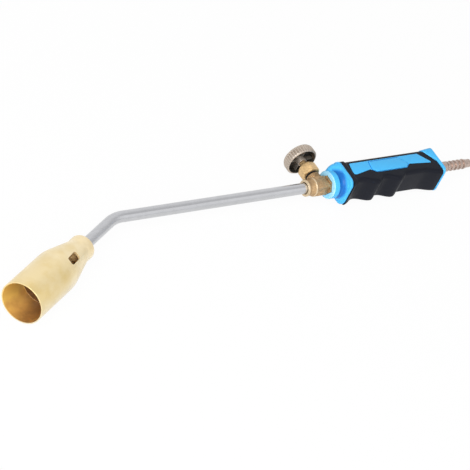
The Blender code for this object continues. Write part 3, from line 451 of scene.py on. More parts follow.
def bellFinish():
    look = bellLook
    material, nodes, shader, where = newFinish("bellBrass", {"Coat Weight": 0.5, "Coat Roughness": 0.25})
    turn = bellAxis.to_3x3()
    along, across = tuple(turn @ Vector((0, 0, 1))), tuple(turn @ Vector(look["shadedSide"]))
    offset = nodes.vectors("SUBTRACT", where, tuple(bellAxis.translation))
    place = nodes.dot(offset, along)
    spoke = nodes.vectors("SUBTRACT", offset, nodes.scaled(along, place))
    facing = nodes.dot(spoke, nodes.add("ShaderNodeNewGeometry", out="Normal"))
    # A flank is a cut face of a slot, which looks neither outwards nor inwards
    inward = facing < look["inwardLimit"]
    flank = (facing < look["flankLimit"]) * (1 - inward)
    flank = flank * (place < bell["seam"]) * (place > look["flankStart"])
    inside = flank.larger(inward)
    cloud = nodes.noise(where, look["cloudScale"], 4)
    patch = nodes.ramp(cloud, (0.42, black), (0.66, white))
    onTube = ((place - bell["seam"]) * look["fadeRate"]).clamped()
    outside = nodes.mixed(patch * 0.6 + onTube * 0.4, look["outside"], look["tarnish"])
    nearNeck = (1 - place / look["neckBlush"]).larger(0)
    outside = nodes.mixed(nearNeck * 0.45 * cloud, outside, look["blush"])
    # Painted light: one side is painted greyer outside as a painted reflection, and brown inside as painted
    # shade, while the other inner side is painted gold as painted light; heat tints give the brown, amber and
    # gold colours and the blotches
    side = nodes.dot(spoke, across)
    outside = nodes.mixed((side * look["reflectedGreyRate"]).clamped() * 0.7, outside, look["reflectedGrey"])
    blotch = nodes.noise(where, look["blotchScale"]) * 2.2 - 0.6
    heatAndShade = nodes.ramp(look["heatMiddle"] - side * look["shadedSideRate"] + 0.4 * blotch,
                      (0.10, look["brown"]), (0.52, look["amber"]), (0.88, look["gold"]))
    # Painted shade: the inside is painted darker towards the throat, and wholly dark within the cone and its
    # spigot, in the slot wall's colour before the waist and the throat's dark colour after it
    deep = look["deepShade"] * (1 - place / bell["length"])
    deep = deep.larger(place < bell["spigotEnd"] - gap)
    waist = ((place - look["waistPlace"]) * look["fadeRate"]).clamped()
    heatAndShade = nodes.mixed(deep, heatAndShade, nodes.mixed(waist, look["slotWall"], look["throatShade"]))
    heatAndShade = nodes.mixed(flank, heatAndShade, look["slotWall"])
    dull = flank.larger(deep * inward)
    lines = nodes.add("ShaderNodeTexNoise", {"noise_dimensions": "1D"}, {
        "W": place * look["latheRate"], "Scale": 1.0, "Detail": 2})
    nodes.feed(shader, {
        "Base Color": nodes.mixed(inside, outside, heatAndShade),
        "Metallic": look["metallic"] - 0.5 * inside - 0.2 * dull,
        "Roughness": look["roughness"] + 0.14 * cloud - 0.10 * inside + 0.4 * dull,
        "Normal": nodes.bump(lines * 0.7 + cloud * 0.6, look["latheDepth"]),
    })
    return material


def bellMouth():
    outer, bore = bell["radius"], bell["radius"] - bell["mouthWall"]
    start, end = bell["seam"] + bell["seamGap"], bell["length"]
    profile = ((start, bore), (start, outer, bell["seamRound"]), (end, outer), (end, bore))
    return turned("bellMouthTube", softened(profile, bell["rimRound"]), bell["steps"], bellAxis)


def slotTree():
    # Air slots round the cone: one rounded block, set out by count round the bell's axis
    tree, nodes, wires = newTree("airSlots", {"Count": "Int", "Turn": "Float"})
    entry = nodes.add("GeometryNodeMeshLine", None, {"Count": wires["Count"], "Offset": (0, 0, 0)}, "Mesh")
    index = nodes.add("GeometryNodeInputIndex", out="Index")
    turn = wires["Turn"] + index * (2 * math.pi) * (1 / bell["slotCount"])
    spin = nodes.add("ShaderNodeCombineXYZ", None, {"Z": turn})
    around = nodes.add("GeometryNodeInstanceOnPoints", None, {
        "Points": entry, "Instance": wires["Geometry"], "Rotation": spin}, "Instances")
    closeTree(nodes, wires, around)
    return tree


def slotCutters():
    half = bell["slotLength"] / 2
    outline = softened(rectangle(-half, half, bell["slotWidth"] / 2), bell["slotCorner"], steps=6)
    lie = Matrix(((0, 0, 1), (0, 1, 0), (-1, 0, 0))).to_4x4()
    block = prism("slotCutter", outline, bell["neckBore"], bell["radius"] + cutOver,
                  Matrix.Translation((0, 0, bell["slotPlace"])) @ lie)
    grown(block, slotTree(), {"Count": bell["slotCount"], "Turn": bell["slotTurn"]}, "bell_brass")
    block.data.transform(bellAxis)
    return block


def bellCone():
    neck, shoulder, waist = bell["neckRadius"], bell["neckShoulder"], bell["neckWaist"]
    neckEnd, spigotEnd = bell["neckLength"], bell["spigotEnd"]
    coneEnd, seam = neckEnd + bell["coneLength"], bell["seam"] - bell["seamGap"]
    outline = [
        (0, neck - shoulder),
        (shoulder * bell["lipRun"], neck - shoulder * bell["lipDrop"], bell["lipRound"]),
        (shoulder, neck, bell["shoulderRound"]), (neckEnd - shoulder, neck, bell["neckRound"]),
        (neckEnd, waist, bell["waistRound"]), (coneEnd, bell["radius"], bell["coneRound"]),
        (seam, bell["radius"], bell["seamRound"]), (seam, bell["spigotRadius"]),
        (spigotEnd, bell["spigotRadius"]), (spigotEnd, bell["spigotBore"]),
        (coneEnd - bell["coneWall"], bell["spigotBore"]), (bell["boreStart"], waist - bell["coneWall"]),
        (neckEnd, bell["neckBore"]), (0, bell["neckBore"]),
    ]
    cone = turned("bellCone", softened(outline, bell["edgeRound"], steps=5), bell["steps"], bellAxis)
    cut(cone, slotCutters())
    return bevelled(cone, bell["slotRound"], segments=3, angle=40)


finishes["bell_brass"] = bellFinish()
placed(bellMouth(), "torch", "bell_brass", "bell_mouth_tube")
placed(bellCone(), "torch", "bell_brass", "bell_cone")
print("bell burner done")

# Lance tube

lance = {
    "radius": 0.0046, "wall": 0.0011, "reach": 0.0516, "sides": 48, "bendSteps": 28,
    "colour": (0.58, 0.585, 0.60), "roughness": 0.27, "streaks": (6, 900, 900), "mottle": 210,
    "streakDepth": 0.00004, "dullness": 0.78, "paleness": 1.22,
}


def lanceFinish():
    # Drawn tube: streaks along its length, with the soft mottling of zinc plate
    material, nodes, shader, where = newFinish("zincSteel", {"Metallic": 1.0})
    streak = nodes.noise(nodes.vectors("MULTIPLY", where, lance["streaks"]), 1.0)
    mottle = nodes.noise(where, lance["mottle"])
    darker, paler = [scaledColour(lance["colour"], lance[name]) for name in ("dullness", "paleness")]
    nodes.feed(shader, {
        "Base Color": nodes.mixed(streak * 0.6 + mottle * 0.4, darker, paler),
        "Roughness": lance["roughness"] + 0.14 * streak - 0.05,
        "Normal": nodes.bump(streak + mottle * 0.5, lance["streakDepth"]),
    })
    return material


def lanceRings(radius):
    bend, bendRadius = torch["bend"], torch["bendRadius"]
    centre = Vector((bendRadius * math.tan(bend / 2), -bendRadius, 0))
    stations = [(Vector((torch["lanceEnd"] + torch["tubeInsertion"], 0, 0)), 0)]
    for step in range(lance["bendSteps"] + 1):
        angle = bend * step / lance["bendSteps"]
        stations.append((centre + bendRadius * Vector((-math.sin(angle), math.cos(angle), 0)), angle))
    stations.append((-lance["reach"] * heading, bend))
    rings = []
    for middle, angle in stations:
        across, ring = Vector((-math.sin(angle), math.cos(angle), 0)), []
        for side in range(lance["sides"]):
            turn = 2 * math.pi * side / lance["sides"]
            ring.append(middle + (across * math.cos(turn) + Vector((0, 0, math.sin(turn)))) * radius)
        rings.append(ring)
    return rings


def lanceTube():
    rings = lanceRings(lance["radius"]) + lanceRings(lance["radius"] - lance["wall"])[::-1]
    return skinned("lanceTube", rings, corner, True)


finishes["zinc_steel"] = lanceFinish()
placed(lanceTube(), "torch", "zinc_steel", "lance_tube")
print("lance tube done")

# Valve

valve = {
    "socketBore": 0.0051, "socketRadius": 0.0065, "lip": 0.0036, "bandLength": 0.0058, "bandRise": 0.0016,
    "lipBead": 0.0005, "beadLength": 0.0014, "barrel": 0.0056, "turnedRound": 0.0005,
    "hexFront": 0.2073, "hexRear": 0.2176, "hexFlats": 0.0140, "hexChamfer": 0.0006,
    "blockHalf": 0.0059, "blockLength": 0.0130, "blockCorner": 0.0008, "blockEdge": 0.0004,
    "bodyEdge": 0.00014, "bossRadius": 0.0056, "bossHeight": 0.0110, "bossChamfer": 0.0004,
    "glandBore": 0.0048, "chamberTop": 0.0046, "pipeSeat": 0.2098, "steps": 72,
    "threadPitch": 0.0011, "threadRidge": 0.00042, "threadStart": 0.0068, "threadLength": 0.0036,
    "nutBase": 0.0125, "nutHeight": 0.0090, "nutFlats": 0.0140, "nutTurn": math.radians(-12),
    "nutChamfer": 0.0008, "nutBore": 0.0033, "nutEdge": 0.0002, "shankRadius": 0.0045, "shankBase": 0.0073,
}
# Where the painted highlight rings lie along the lance, and between which radii
valveLook = {"lipEnd": 0.1868, "bandStart": 0.1926, "bandEnd": 0.1942, "low": 0.0074, "high": 0.0086}


def highlightRings(nodes, where):
    # Painted highlight: the lip of the tube socket and the crest of the band behind it are painted pale where
    # light catches them
    look = valveLook
    x, y, z = nodes.split(nodes.vectors("SUBTRACT", where, torch["corner"]))
    radius = (y * y + z * z).maths("SQRT")
    crest = (x > look["bandStart"]) * (x < look["bandEnd"]) * (radius > look["low"]) * (radius < look["high"])
    return crest.larger(x < look["lipEnd"])


def threadTree():
    # A ridge that winds up a cylinder
    names = ("Radius", "Pitch", "Turns", "Ridge")
    tree, nodes, wires = newTree("windingThread", dict.fromkeys(names, "Float"))
    spiral = nodes.add("GeometryNodeCurveSpiral", None, {
        "Resolution": 40, "Rotations": wires["Turns"], "Start Radius": wires["Radius"],
        "End Radius": wires["Radius"], "Height": wires["Turns"] * wires["Pitch"]}, "Curve")
    ridge = nodes.add("GeometryNodeCurvePrimitiveCircle", {"mode": "RADIUS"}, {
        "Resolution": 6, "Radius": wires["Ridge"]}, "Curve")
    wound = nodes.add("GeometryNodeCurveToMesh", None, {
        "Curve": spiral, "Profile Curve": ridge, "Fill Caps": True}, "Mesh")
    closeTree(nodes, wires, wound)
    return tree


def bossThread():
    made = grown(linked("bossThread", bpy.data.meshes.new("bossThread")), threadTree(), {
        "Radius": valve["bossRadius"], "Pitch": valve["threadPitch"], "Ridge": valve["threadRidge"],
        "Turns": valve["threadLength"] / valve["threadPitch"]}, "valve_brass")
    made.data.transform(spindleAxis @ Matrix.Translation((0, 0, valve["threadStart"])))
    return made


def chamferedNut(name, flats, low, high, chamfer, axis, turn=0.0):
    peak = flats / 2 + 2 * chamfer
    profile = (
        (low - cutOver, 0), (low - cutOver, flats / 2 - 2 * cutOver), (low + chamfer, peak),
        (high - chamfer, peak), (high + cutOver, flats / 2 - 2 * cutOver), (high + cutOver, 0),
    )
    nut = prism(name, hexagon(flats, turn), low, high, axis)
    return kept(nut, turned("nutChamfer", profile, valve["steps"], axis))


def valveBody():
    front, socket, bead = torch["lanceEnd"], valve["socketRadius"], valve["lipBead"]
    beadEnd, lipEnd = front + valve["beadLength"], front + valve["lip"]
    bandEnd, rear = lipEnd + valve["bandLength"], valve["hexFront"] + valve["hexChamfer"]
    profile = (
        (front, 0), (front, socket + bead), (beadEnd, socket + bead), (beadEnd + 2 * bead, socket),
        (lipEnd, socket), ((lipEnd + bandEnd) / 2, socket + valve["bandRise"] / 2),
        (bandEnd - valve["bandLength"] / 4, socket + valve["bandRise"]), (bandEnd, socket),
        (bandEnd + valve["bandLength"] / 4, valve["barrel"]), (rear, valve["barrel"]), (rear, 0),
    )
    body = turned("valveBody", softened(profile, valve["turnedRound"]), valve["steps"], lanceAxis)
    start, half = bandEnd - valve["bandLength"] / 6, valve["blockHalf"]
    block = prism("valveBlock", roundedBox(-half, half, half, valve["blockCorner"]), start,
                  start + valve["blockLength"], lanceAxis)
    bevelled(block, valve["blockEdge"])
    nut = chamferedNut("valveHexagon", valve["hexFlats"], valve["hexFront"], valve["hexRear"],
                       valve["hexChamfer"], lanceAxis)
    radius, top = valve["bossRadius"], valve["bossHeight"]
    neck = softened(((half / 3, 0), (half / 3, radius), (top, radius), (top, 0)), valve["bossChamfer"])
    joined(body, block, nut, turned("valveBoss", neck, valve["steps"], spindleAxis))
    socketEnd = front + torch["tubeInsertion"] + gap
    bore = rod("socketBore", front - cutOver, socketEnd, valve["socketBore"], valve["steps"], lanceAxis)
    pipeEnd = valve["hexRear"] + cutOver
    pipe = rod("pipeBore", valve["pipeSeat"], pipeEnd, torch["pipeBore"], boreSteps, lanceAxis)
    gland = rod("glandBore", valve["chamberTop"], top + cutOver, valve["glandBore"], boreSteps, spindleAxis)
    cut(body, gland, bore, pipe)
    bevelled(body, valve["bodyEdge"], angle=38)
    return merged("valveBody", body, bossThread())


def glandNut():
    low, high, base = valve["nutBase"], valve["nutBase"] + valve["nutHeight"], valve["shankBase"]
    nut = chamferedNut("glandNut", valve["nutFlats"], low, high, valve["nutChamfer"], spindleAxis,
                       valve["nutTurn"])
    joined(nut, rod("glandShank", base, low + cutOver, valve["shankRadius"], boreSteps, spindleAxis))
    cut(nut, rod("glandHole", base - cutOver, high + cutOver, valve["nutBore"], boreSteps, spindleAxis))
    return bevelled(nut, valve["nutEdge"])


# The rings colour is a painted highlight
finishes["valve_brass"] = castMetal(
    "valveBrass", (0.375, 0.255, 0.14), 0.52, grain=620, pit=0.0001, rubbed=(1.85, 1.8, 1.7), metallic=0.7,
    rings=(0.92, 0.80, 0.58))
# A paler copy of the valve brass, painted lighter as painted light, for the gland nut and the spindle
finishes["lit_brass"] = castMetal(
    "litBrass", (0.68, 0.465, 0.225), 0.42, grain=620, pit=0.0001, rubbed=(1.45, 1.45, 1.45), metallic=0.7)
placed(valveBody(), "torch", "valve_brass", "valve_body")
placed(glandNut(), "torch", "valve_brass", "gland_nut", finish="lit_brass")
print("valve done")

# Spindle, knob, washer and screw

knob = {
    "radius": 0.0140, "height": 0.0080, "base": 0.0279, "wall": 0.0018, "plate": 0.0022,
    "plateSetback": 0.0004, "chamfer": 0.0010, "crown": 0.0018, "hubRadius": 0.0039, "hubDrop": 0.0006,
    "flutes": 36, "fluteDepth": 0.0010, "fluteShape": 1.6, "fluteInset": 0.7, "fluteTop": 0.0004,
    "ribs": 4, "ribWidth": 0.0014, "ribHeight": 0.0030, "ribEdge": 0.00025,
    "recessRadius": 0.0056, "recessDepth": 0.0010, "bore": 0.0023,
    "rimRound": 0.0004, "plateRound": 0.0003, "steps": 360, "plateSteps": 72, "smallSteps": 56,
    "spindleFoot": 0.0035, "spindleRadius": 0.0030, "spindleEnd": 0.0020, "spindleCup": 0.0051,
    "cupRadius": 0.0012, "spindleRound": 0.0002,
    "washerRadius": 0.0045, "washerHeight": 0.0007, "washerRound": 0.0001,
    "screwHead": 0.0034, "screwHeight": 0.0018, "screwRim": 0.0004, "screwShank": 0.0010,
    "screwLength": 0.0070, "slotWidth": 0.0008, "slotDepth": 0.0008,
}
knob["face"] = knob["base"] + knob["height"]
knob["recessFloor"] = knob["face"] - knob["plateSetback"] - knob["recessDepth"]
# A mark says how dark a face of the hollow is painted, as painted shade; margins, drop and inset set where
# each mark ends
knobLook = {
    "nickel": (0.64, 0.575, 0.505), "worn": (0.50, 0.41, 0.33), "fluteShadeColour": (0.27, 0.225, 0.18),
    "paintedShadeColour": (0.020, 0.017, 0.012), "rust": (0.11, 0.072, 0.042), "rimStart": 0.0132, "grain": 0.00005,
    "hubMark": 0.2, "webMark": 0.78, "margin": 0.0002, "hubMargin": 0.0003, "webDrop": 0.0004,
    "webInset": 0.0006, "cloudScale": 260, "metallic": 0.9, "roughness": 0.42,
}


def knobFinish():
    # Satin nickel on the rim; the hollow is painted near black as painted shade, with random rusty spots, and
    # the flutes are painted darker as painted shade
    look = knobLook
    material, nodes, shader, where = newFinish("knobNickel", {})
    x, _, z = nodes.split(nodes.vectors("SUBTRACT", where, tuple(spindleAxis.translation)))
    # Painted shade: the dips of the flutes are painted darker
    wave = 0.5 - 0.5 * (z.maths("ARCTAN2", x) * knob["flutes"]).maths("COSINE")
    fluteShadeMask = wave * ((x * x + z * z).maths("SQRT") > look["rimStart"])
    # Painted shade: the marked hollow is painted near black
    dark = nodes.add("ShaderNodeAttribute", {"attribute_name": "hollow"}, None, "Fac")
    cloud = nodes.noise(where, look["cloudScale"], 4)
    spots = nodes.ramp(cloud, (0.52, black), (0.68, white))
    rim = nodes.mixed(fluteShadeMask * 0.5, nodes.mixed(cloud, look["worn"], look["nickel"]), look["fluteShadeColour"])
    nodes.feed(shader, {
        "Base Color": nodes.mixed(dark, rim, nodes.mixed(spots, look["paintedShadeColour"], look["rust"])),
        "Metallic": look["metallic"] - 0.65 * dark,
        "Roughness": look["roughness"] + 0.2 * cloud + 0.10 * dark,
        "Normal": nodes.bump(cloud, look["grain"]),
    })
    return material


def fluteTree():
    # Flutes round the rim: a wave in the radius that fades out over the crown and the chamfer
    names = ("Count", "Depth", "Shape", "Rim", "Low", "High", "Fade")
    tree, nodes, wires = newTree("rimFlutes", dict.fromkeys(names, "Float"))
    x, y, z = nodes.split(nodes.add("GeometryNodeInputPosition", out="Position"))
    wave = 0.5 - 0.5 * (y.maths("ARCTAN2", x) * wires["Count"]).maths("COSINE")
    above = (z - wires["Low"]) / wires["Fade"]
    below = (wires["High"] - z) / wires["Fade"]
    fade = above.maths("MINIMUM", below).clamped()
    onRim = (x * x + y * y).maths("SQRT") > wires["Rim"]
    dip = wave ** wires["Shape"] * wires["Depth"] * fade * onRim
    outward = nodes.add("ShaderNodeCombineXYZ", None, {"X": x, "Y": y})
    outward = nodes.add("ShaderNodeVectorMath", {"operation": "NORMALIZE"}, {0: outward})
    moved = nodes.add("GeometryNodeSetPosition", None, {
        "Geometry": wires["Geometry"], "Offset": nodes.scaled(outward, dip * -1.0)})
    closeTree(nodes, wires, moved)
    return tree


def knobRim():
    low, face, radius, chamfer = knob["base"], knob["face"], knob["radius"], knob["chamfer"]
    inner, crown = radius - knob["wall"], knob["crown"]
    outline = softened((
        (low, inner), (low, radius - chamfer), (low + chamfer, radius), (face - crown, radius),
        (face, radius - crown / 2), (face, inner - crown / 2)), knob["rimRound"])
    profile, splits = [], 4
    for first, second in zip(outline, outline[1:] + outline[:1]):
        profile += [tuple(Vector(first).lerp(Vector(second), step / splits)) for step in range(splits)]
    rim = turned("knob", profile, knob["steps"], Matrix.Identity(4))
    grown(rim, fluteTree(), {
        "Count": float(knob["flutes"]), "Depth": knob["fluteDepth"], "Shape": knob["fluteShape"],
        "Rim": radius - knob["wall"] * knob["fluteInset"], "Low": low + chamfer,
        "High": face - knob["fluteTop"], "Fade": chamfer}, "knob_nickel")
    rim.data.transform(spindleAxis)
    return rim


def knobWeb():
    hub, hubBase, floor = knob["hubRadius"], knob["base"] - knob["hubDrop"], knob["recessFloor"]
    recess, bore, halfWall = knob["recessRadius"], knob["bore"], knob["wall"] / 2
    face = knob["face"] - knob["plateSetback"]
    under = face - knob["plate"]
    edge = knob["radius"] - halfWall - knob["fluteDepth"] / 2
    plate = softened((
        (face, recess), (face, edge - halfWall), (under, edge), (under, hub), (hubBase, hub), (hubBase, bore),
        (floor, bore), (floor, recess)), knob["plateRound"])
    web = turned("knobWeb", plate, knob["plateSteps"], spindleAxis)
    half, end = knob["ribWidth"] / 2, knob["radius"] - halfWall - knob["fluteDepth"]
    low, high = under - knob["ribHeight"], under + knob["plate"] / 3
    ribs = []
    for index in range(knob["ribs"]):
        turn = spindleAxis @ Matrix.Rotation(2 * math.pi * index / knob["ribs"], 4, "Z")
        rib = prism("knobRib", rectangle(hub - half, end, half), low, high, turn)
        ribs.append(bevelled(rib, knob["ribEdge"]))
    return web, ribs


def markHollowShade(piece):
    # Marks the hollow under the plate, which the finish paints dark as painted shade, apart from the rim and
    # the face
    look, back = knobLook, spindleAxis.inverted()
    mark = piece.data.attributes.new("hollow", "FLOAT", "FACE")
    under = knob["face"] - knob["plateSetback"] - knob["plate"]
    wall = knob["radius"] - knob["wall"]
    for polygon in piece.data.polygons:
        centre = back @ polygon.center
        radius = math.hypot(centre.x, centre.y)
        value = float(centre.z < under + look["margin"] and radius < wall + look["margin"])
        if centre.z < under - look["webDrop"] and radius < wall - look["webInset"]:
            value = look["hubMark"] if radius < knob["hubRadius"] + look["hubMargin"] else look["webMark"]
        mark.data[polygon.index].value = value


def makeKnob():
    rim = knobRim()
    web, ribs = knobWeb()
    joined(rim, web, *ribs)
    shaded(rim.data, sharp=38)
    markHollowShade(rim)
    return rim


def makeSpindle():
    cup, cupRadius = knob["spindleCup"], knob["cupRadius"]
    foot, radius = knob["spindleFoot"], knob["spindleRadius"]
    shoulder, top, end = knob["base"] - knob["hubDrop"] - gap, knob["recessFloor"], knob["spindleEnd"]
    seat, hole = knob["screwShank"] + gap, top - knob["screwLength"]
    profile = (
        (cup, 0), (cup, cupRadius), (foot, cupRadius), (foot, radius), (shoulder, radius), (shoulder, end),
        (top, end), (top, seat), (hole, seat), (hole, 0),
    )
    return turned("valveSpindle", softened(profile, knob["spindleRound"]), boreSteps, spindleAxis)


def makeWasher():
    low = knob["recessFloor"] + gap
    high, hole, radius = low + knob["washerHeight"], knob["screwShank"] + gap, knob["washerRadius"]
    profile = softened(((low, hole), (low, radius), (high, radius), (high, hole)), knob["washerRound"])
    return turned("knobWasher", profile, knob["smallSteps"], spindleAxis)


def makeScrew():
    # A domed head with a straight slot
    foot = knob["recessFloor"] - knob["screwLength"] + gap
    seat = knob["recessFloor"] + knob["washerHeight"] + 2 * gap
    top, rim = seat + knob["screwHeight"], seat + knob["screwRim"]
    profile = [(foot, 0), (foot, knob["screwShank"]), (seat, knob["screwShank"]), (seat, knob["screwHead"])]
    for degrees in range(0, 90, 10):
        lift = math.radians(degrees)
        profile.append((rim + (top - rim) * math.sin(lift), knob["screwHead"] * math.cos(lift)))
    profile.append((top, 0))
    screw = turned("knobScrew", profile, knob["smallSteps"], spindleAxis)
    reach = knob["screwHead"] + cutOver
    outline = rectangle(-reach, reach, knob["slotWidth"] / 2)
    return cut(screw, prism("screwSlot", outline, top - knob["slotDepth"], top + cutOver, spindleAxis))


finishes["knob_nickel"] = knobFinish()
finishes["fastener_steel"] = castMetal(
    "fastenerSteel", (0.58, 0.58, 0.59), 0.32, grain=1800, pit=0.00002, rubbed=(1.2, 1.2, 1.2))
placed(makeKnob(), "knob", "knob_nickel", "knob")
placed(makeSpindle(), "knob", "valve_brass", "valve_spindle", finish="lit_brass")
placed(makeWasher(), "knob", "fastener_steel", "knob_washer")
placed(makeScrew(), "knob", "fastener_steel", "knob_screw")
print("knob done")

# Handle: places are counted from the front face of its front flange

# The inlay's and the plaque's points are shares of the span and of the grip's half width
handle = {
    "span": 0.1030, "flangeHalf": 0.0143, "flangeCorner": 0.0064, "flangeThickness": 0.0026,
    "flangeRound": 0.0006, "collarRadius": 0.0118, "collarLength": 0.0122, "collarRound": 0.0010,
    "collarOverlap": 0.0006, "grooveDepth": 0.0016, "grooveWidth": 0.0022, "grooveOverlap": 0.0001,
    "turnedRound": 0.0005, "pocketDepth": 0.0093,
    "flareLength": 0.0046, "knobFlare": 0.0110, "knobSide": 0.75, "swell": 2.5, "flareSteps": 14,
    "coreRadius": 0.0080, "bossWall": 0.0016, "bossFloor": 0.0030, "recessRadius": 0.0086,
    "recessDepth": 0.0100, "steps": 96, "stemSteps": 64,
    "rearThickness": 0.0028, "rearHalf": 0.0140, "rearTaper": 0.0013, "rearSide": 0.0150,
    "rearCorner": 0.0046, "rearSlope": 0.60, "rearKnee": -0.21, "rearRound": 0.0010,
    "padProud": 0.0003, "padCorner": 0.0012, "padRound": 0.0003,
    "plaqueRise": 0.0005, "plaqueGroove": 0.0009,
    "inlay": ((0.109, 0.68), (0.822, 0.68), (0.915, -0.27), (0.685, -0.08),
              (0.638, -0.38), (0.323, -0.38), (0.273, -0.06), (0.084, -0.37, 0.0030)),
    "plaque": ((0.303, 0.56), (0.606, 0.56), (0.669, -0.10),
               (0.632, -0.335), (0.326, -0.335), (0.290, -0.07)),
}
# Each groove has its start, its end and its two slopes, as shares of the span
grip = {
    "half": 0.0125, "side": 0.0152, "corner": 0.0036, "stations": 170, "cornerSteps": 10, "lipRise": 0.0008,
    "lipLength": 0.0044, "lipRamp": 0.0015, "grooveDepth": 0.0043, "frontGap": gap * 0.3,
    "windowGap": gap * 0.4,
    "grooves": ((0.012, 0.290, 0.116, 0.151), (0.290, 0.518, 0.078, 0.136), (0.518, 0.973, 0.082, 0.192)),
}
# Places here are counted along the handle, from the collar's front
coreLook = {
    "blue": (0.080, 0.54, 0.98), "deep": (0.064, 0.485, 0.95), "groove": (0.003, 0.15, 0.52),
    "frontHighlight": (0.42, 0.78, 0.98), "frontEnd": 0.0005, "grooveStart": 0.0050, "grooveEnd": 0.0120,
    "grooveRadius": 0.0136, "grooveFade": 0.0022, "padStart": 0.018, "padEnd": 0.108, "padTop": 0.0124,
    "cloudScale": 60, "peelScale": 1500, "peelDepth": 0.00002, "roughness": 0.36,
}


def coreFinish():
    # Satin moulded plastic with a faint orange peel
    look = coreLook
    material, nodes, shader, where = newFinish("coreBlue", {"Metallic": 0.0, "Specular IOR Level": 0.35})
    front = handleAxis.translation - Vector((handle["collarLength"], 0, 0))
    x, y, z = nodes.split(nodes.vectors("SUBTRACT", where, tuple(front)))
    cloud, peel = nodes.noise(where, look["cloudScale"]), nodes.noise(where, look["peelScale"], 2)
    # Painted light: the front face is painted pale as a painted highlight, and the collar's groove and the
    # plaque's outline are painted darker as painted shade
    hollow = ((look["grooveRadius"] - (y * y + z * z).maths("SQRT")) / look["grooveFade"]).clamped()
    hollow = hollow * (x > look["grooveStart"]) * (x < look["grooveEnd"])
    outline = (x > look["padStart"]) * (x < look["padEnd"]) * (z.maths("ABSOLUTE") < look["padTop"])
    hollow = hollow.larger(outline * 0.4)
    shade = nodes.mixed(hollow, nodes.mixed(cloud, look["deep"], look["blue"]), look["groove"])
    shade = nodes.mixed((x < look["frontEnd"]) * (1.5 * cloud - 0.05), shade, look["frontHighlight"])
    nodes.feed(shader, {
        "Base Color": shade,
        "Roughness": look["roughness"] + 0.12 * cloud,
        "Normal": nodes.bump(peel, look["peelDepth"]),
    })
    return material


def padOutline(shares, clearance):
    corners = [Vector((handle["span"] * along, grip["half"] * across)) for along, across, *_ in shares]
    area = sum(a.x * b.y - b.x * a.y for a, b in zip(corners, corners[1:] + corners[:1]))
    moved = []
    for i, here in enumerate(corners):
        back = (here - corners[i - 1]).normalized()
        ahead = (corners[(i + 1) % len(corners)] - here).normalized()
        normals = Vector((back.y + ahead.y, -back.x - ahead.x))
        here = here + normals * math.copysign(clearance, area) / (1 + back.dot(ahead))
        moved.append((*here, *shares[i][2:]))
    return softened(moved, handle["padCorner"] + clearance, steps=6)


def pad(name, shares, low, high, side, clearance=0.0, edge=0.0):
    made = prism(name, padOutline(shares, clearance), side * low, side * high, handleAxis)
    return bevelled(made, edge, segments=3, angle=50) if edge else made


def rearWedge(clearance):
    # The flange is thin on the finger side and deepens in a slope towards the knob side
    knee, edge = handle["rearKnee"] * handle["rearHalf"], grip["side"] + cutOver
    sloped = clearance * math.hypot(1, handle["rearSlope"])
    thin = handle["span"] - handle["rearThickness"] - clearance
    start = handle["span"] - handle["rearThickness"] - sloped
    deep = start - handle["rearSlope"] * (edge - knee)
    bend = knee - (sloped - clearance) / handle["rearSlope"]
    end = handle["span"] + cutOver
    outline = ((end, -2 * edge), (end, edge), (deep, edge), (thin, bend), (thin, -2 * edge))
    return prism("rearWedge", outline, -edge, edge, handleAxis)


def smoothRise(share):
    share = min(max(share, 0), 1)
    return share * share * (3 - 2 * share)


def flangeReach(turn):
    # How far the flange's rounded square reaches from the axis in one direction
    across, up = abs(math.cos(turn)), abs(math.sin(turn))
    edge = handle["flangeHalf"] - handle["flangeRound"]
    centre = edge - handle["flangeCorner"]
    if min(across, up) * edge <= max(across, up) * centre:
        return edge / max(across, up)
    both = centre * (across + up)
    return both + math.sqrt(both ** 2 - 2 * centre ** 2 + handle["flangeCorner"] ** 2)


def flareRing(share):
    # A hollow curve on the finger side, and a longer, swelling ramp on the side of the knob
    foot = handle["collarRadius"] - handle["grooveDepth"] - handle["grooveOverlap"]
    points = []
    for side in range(handle["steps"]):
        turn = 2 * math.pi * side / handle["steps"]
        ramp = smoothRise(math.cos(turn) / handle["knobSide"])
        length = handle["flareLength"] + (handle["knobFlare"] - handle["flareLength"]) * ramp
        swing = share * math.pi / 2
        run = share * ramp + math.sin(swing) * (1 - ramp)
        swell = 1 - (1 - share) ** handle["swell"]
        rise = swell * ramp + (1 - math.cos(swing)) * (1 - ramp)
        radius = foot + (flangeReach(turn) - foot) * rise
        points.append((length * (run - 1), radius * math.cos(turn), radius * math.sin(turn)))
    return points


def flareAndFlange():
    rings = [flareRing(step / handle["flareSteps"]) for step in range(handle["flareSteps"] + 1)]
    rings.insert(0, [(handle["collarOverlap"] - handle["collarLength"], y, z) for _, y, z in rings[0]])
    rings.append([(handle["flangeThickness"] / 3, y, z) for _, y, z in rings[-1]])
    half = handle["flangeHalf"]
    outline = [(-z, y) for y, z in roundedBox(-half, half, half, handle["flangeCorner"])]
    plate = prism("frontFlange", outline, 0, handle["flangeThickness"], handleTurned)
    bevelled(plate, handle["flangeRound"], segments=3, angle=50)
    return skinned("collarFlare", rings, handleAxis), plate


def rearFlange():
    # It widens to the rear, except on the finger side
    half, side = handle["rearHalf"], handle["rearSide"]
    taper, corner = handle["rearTaper"], handle["rearCorner"]
    small = roundedBox(-side, half - taper, half - taper, corner - taper)
    large = roundedBox(-side, half, half, corner)
    rings = [[(handle["span"] - half, y, z) for y, z in small], [(handle["span"], y, z) for y, z in large]]
    made = kept(skinned("rearFlange", rings, handleAxis), rearWedge(0))
    return bevelled(made, handle["rearRound"], segments=3, angle=50)


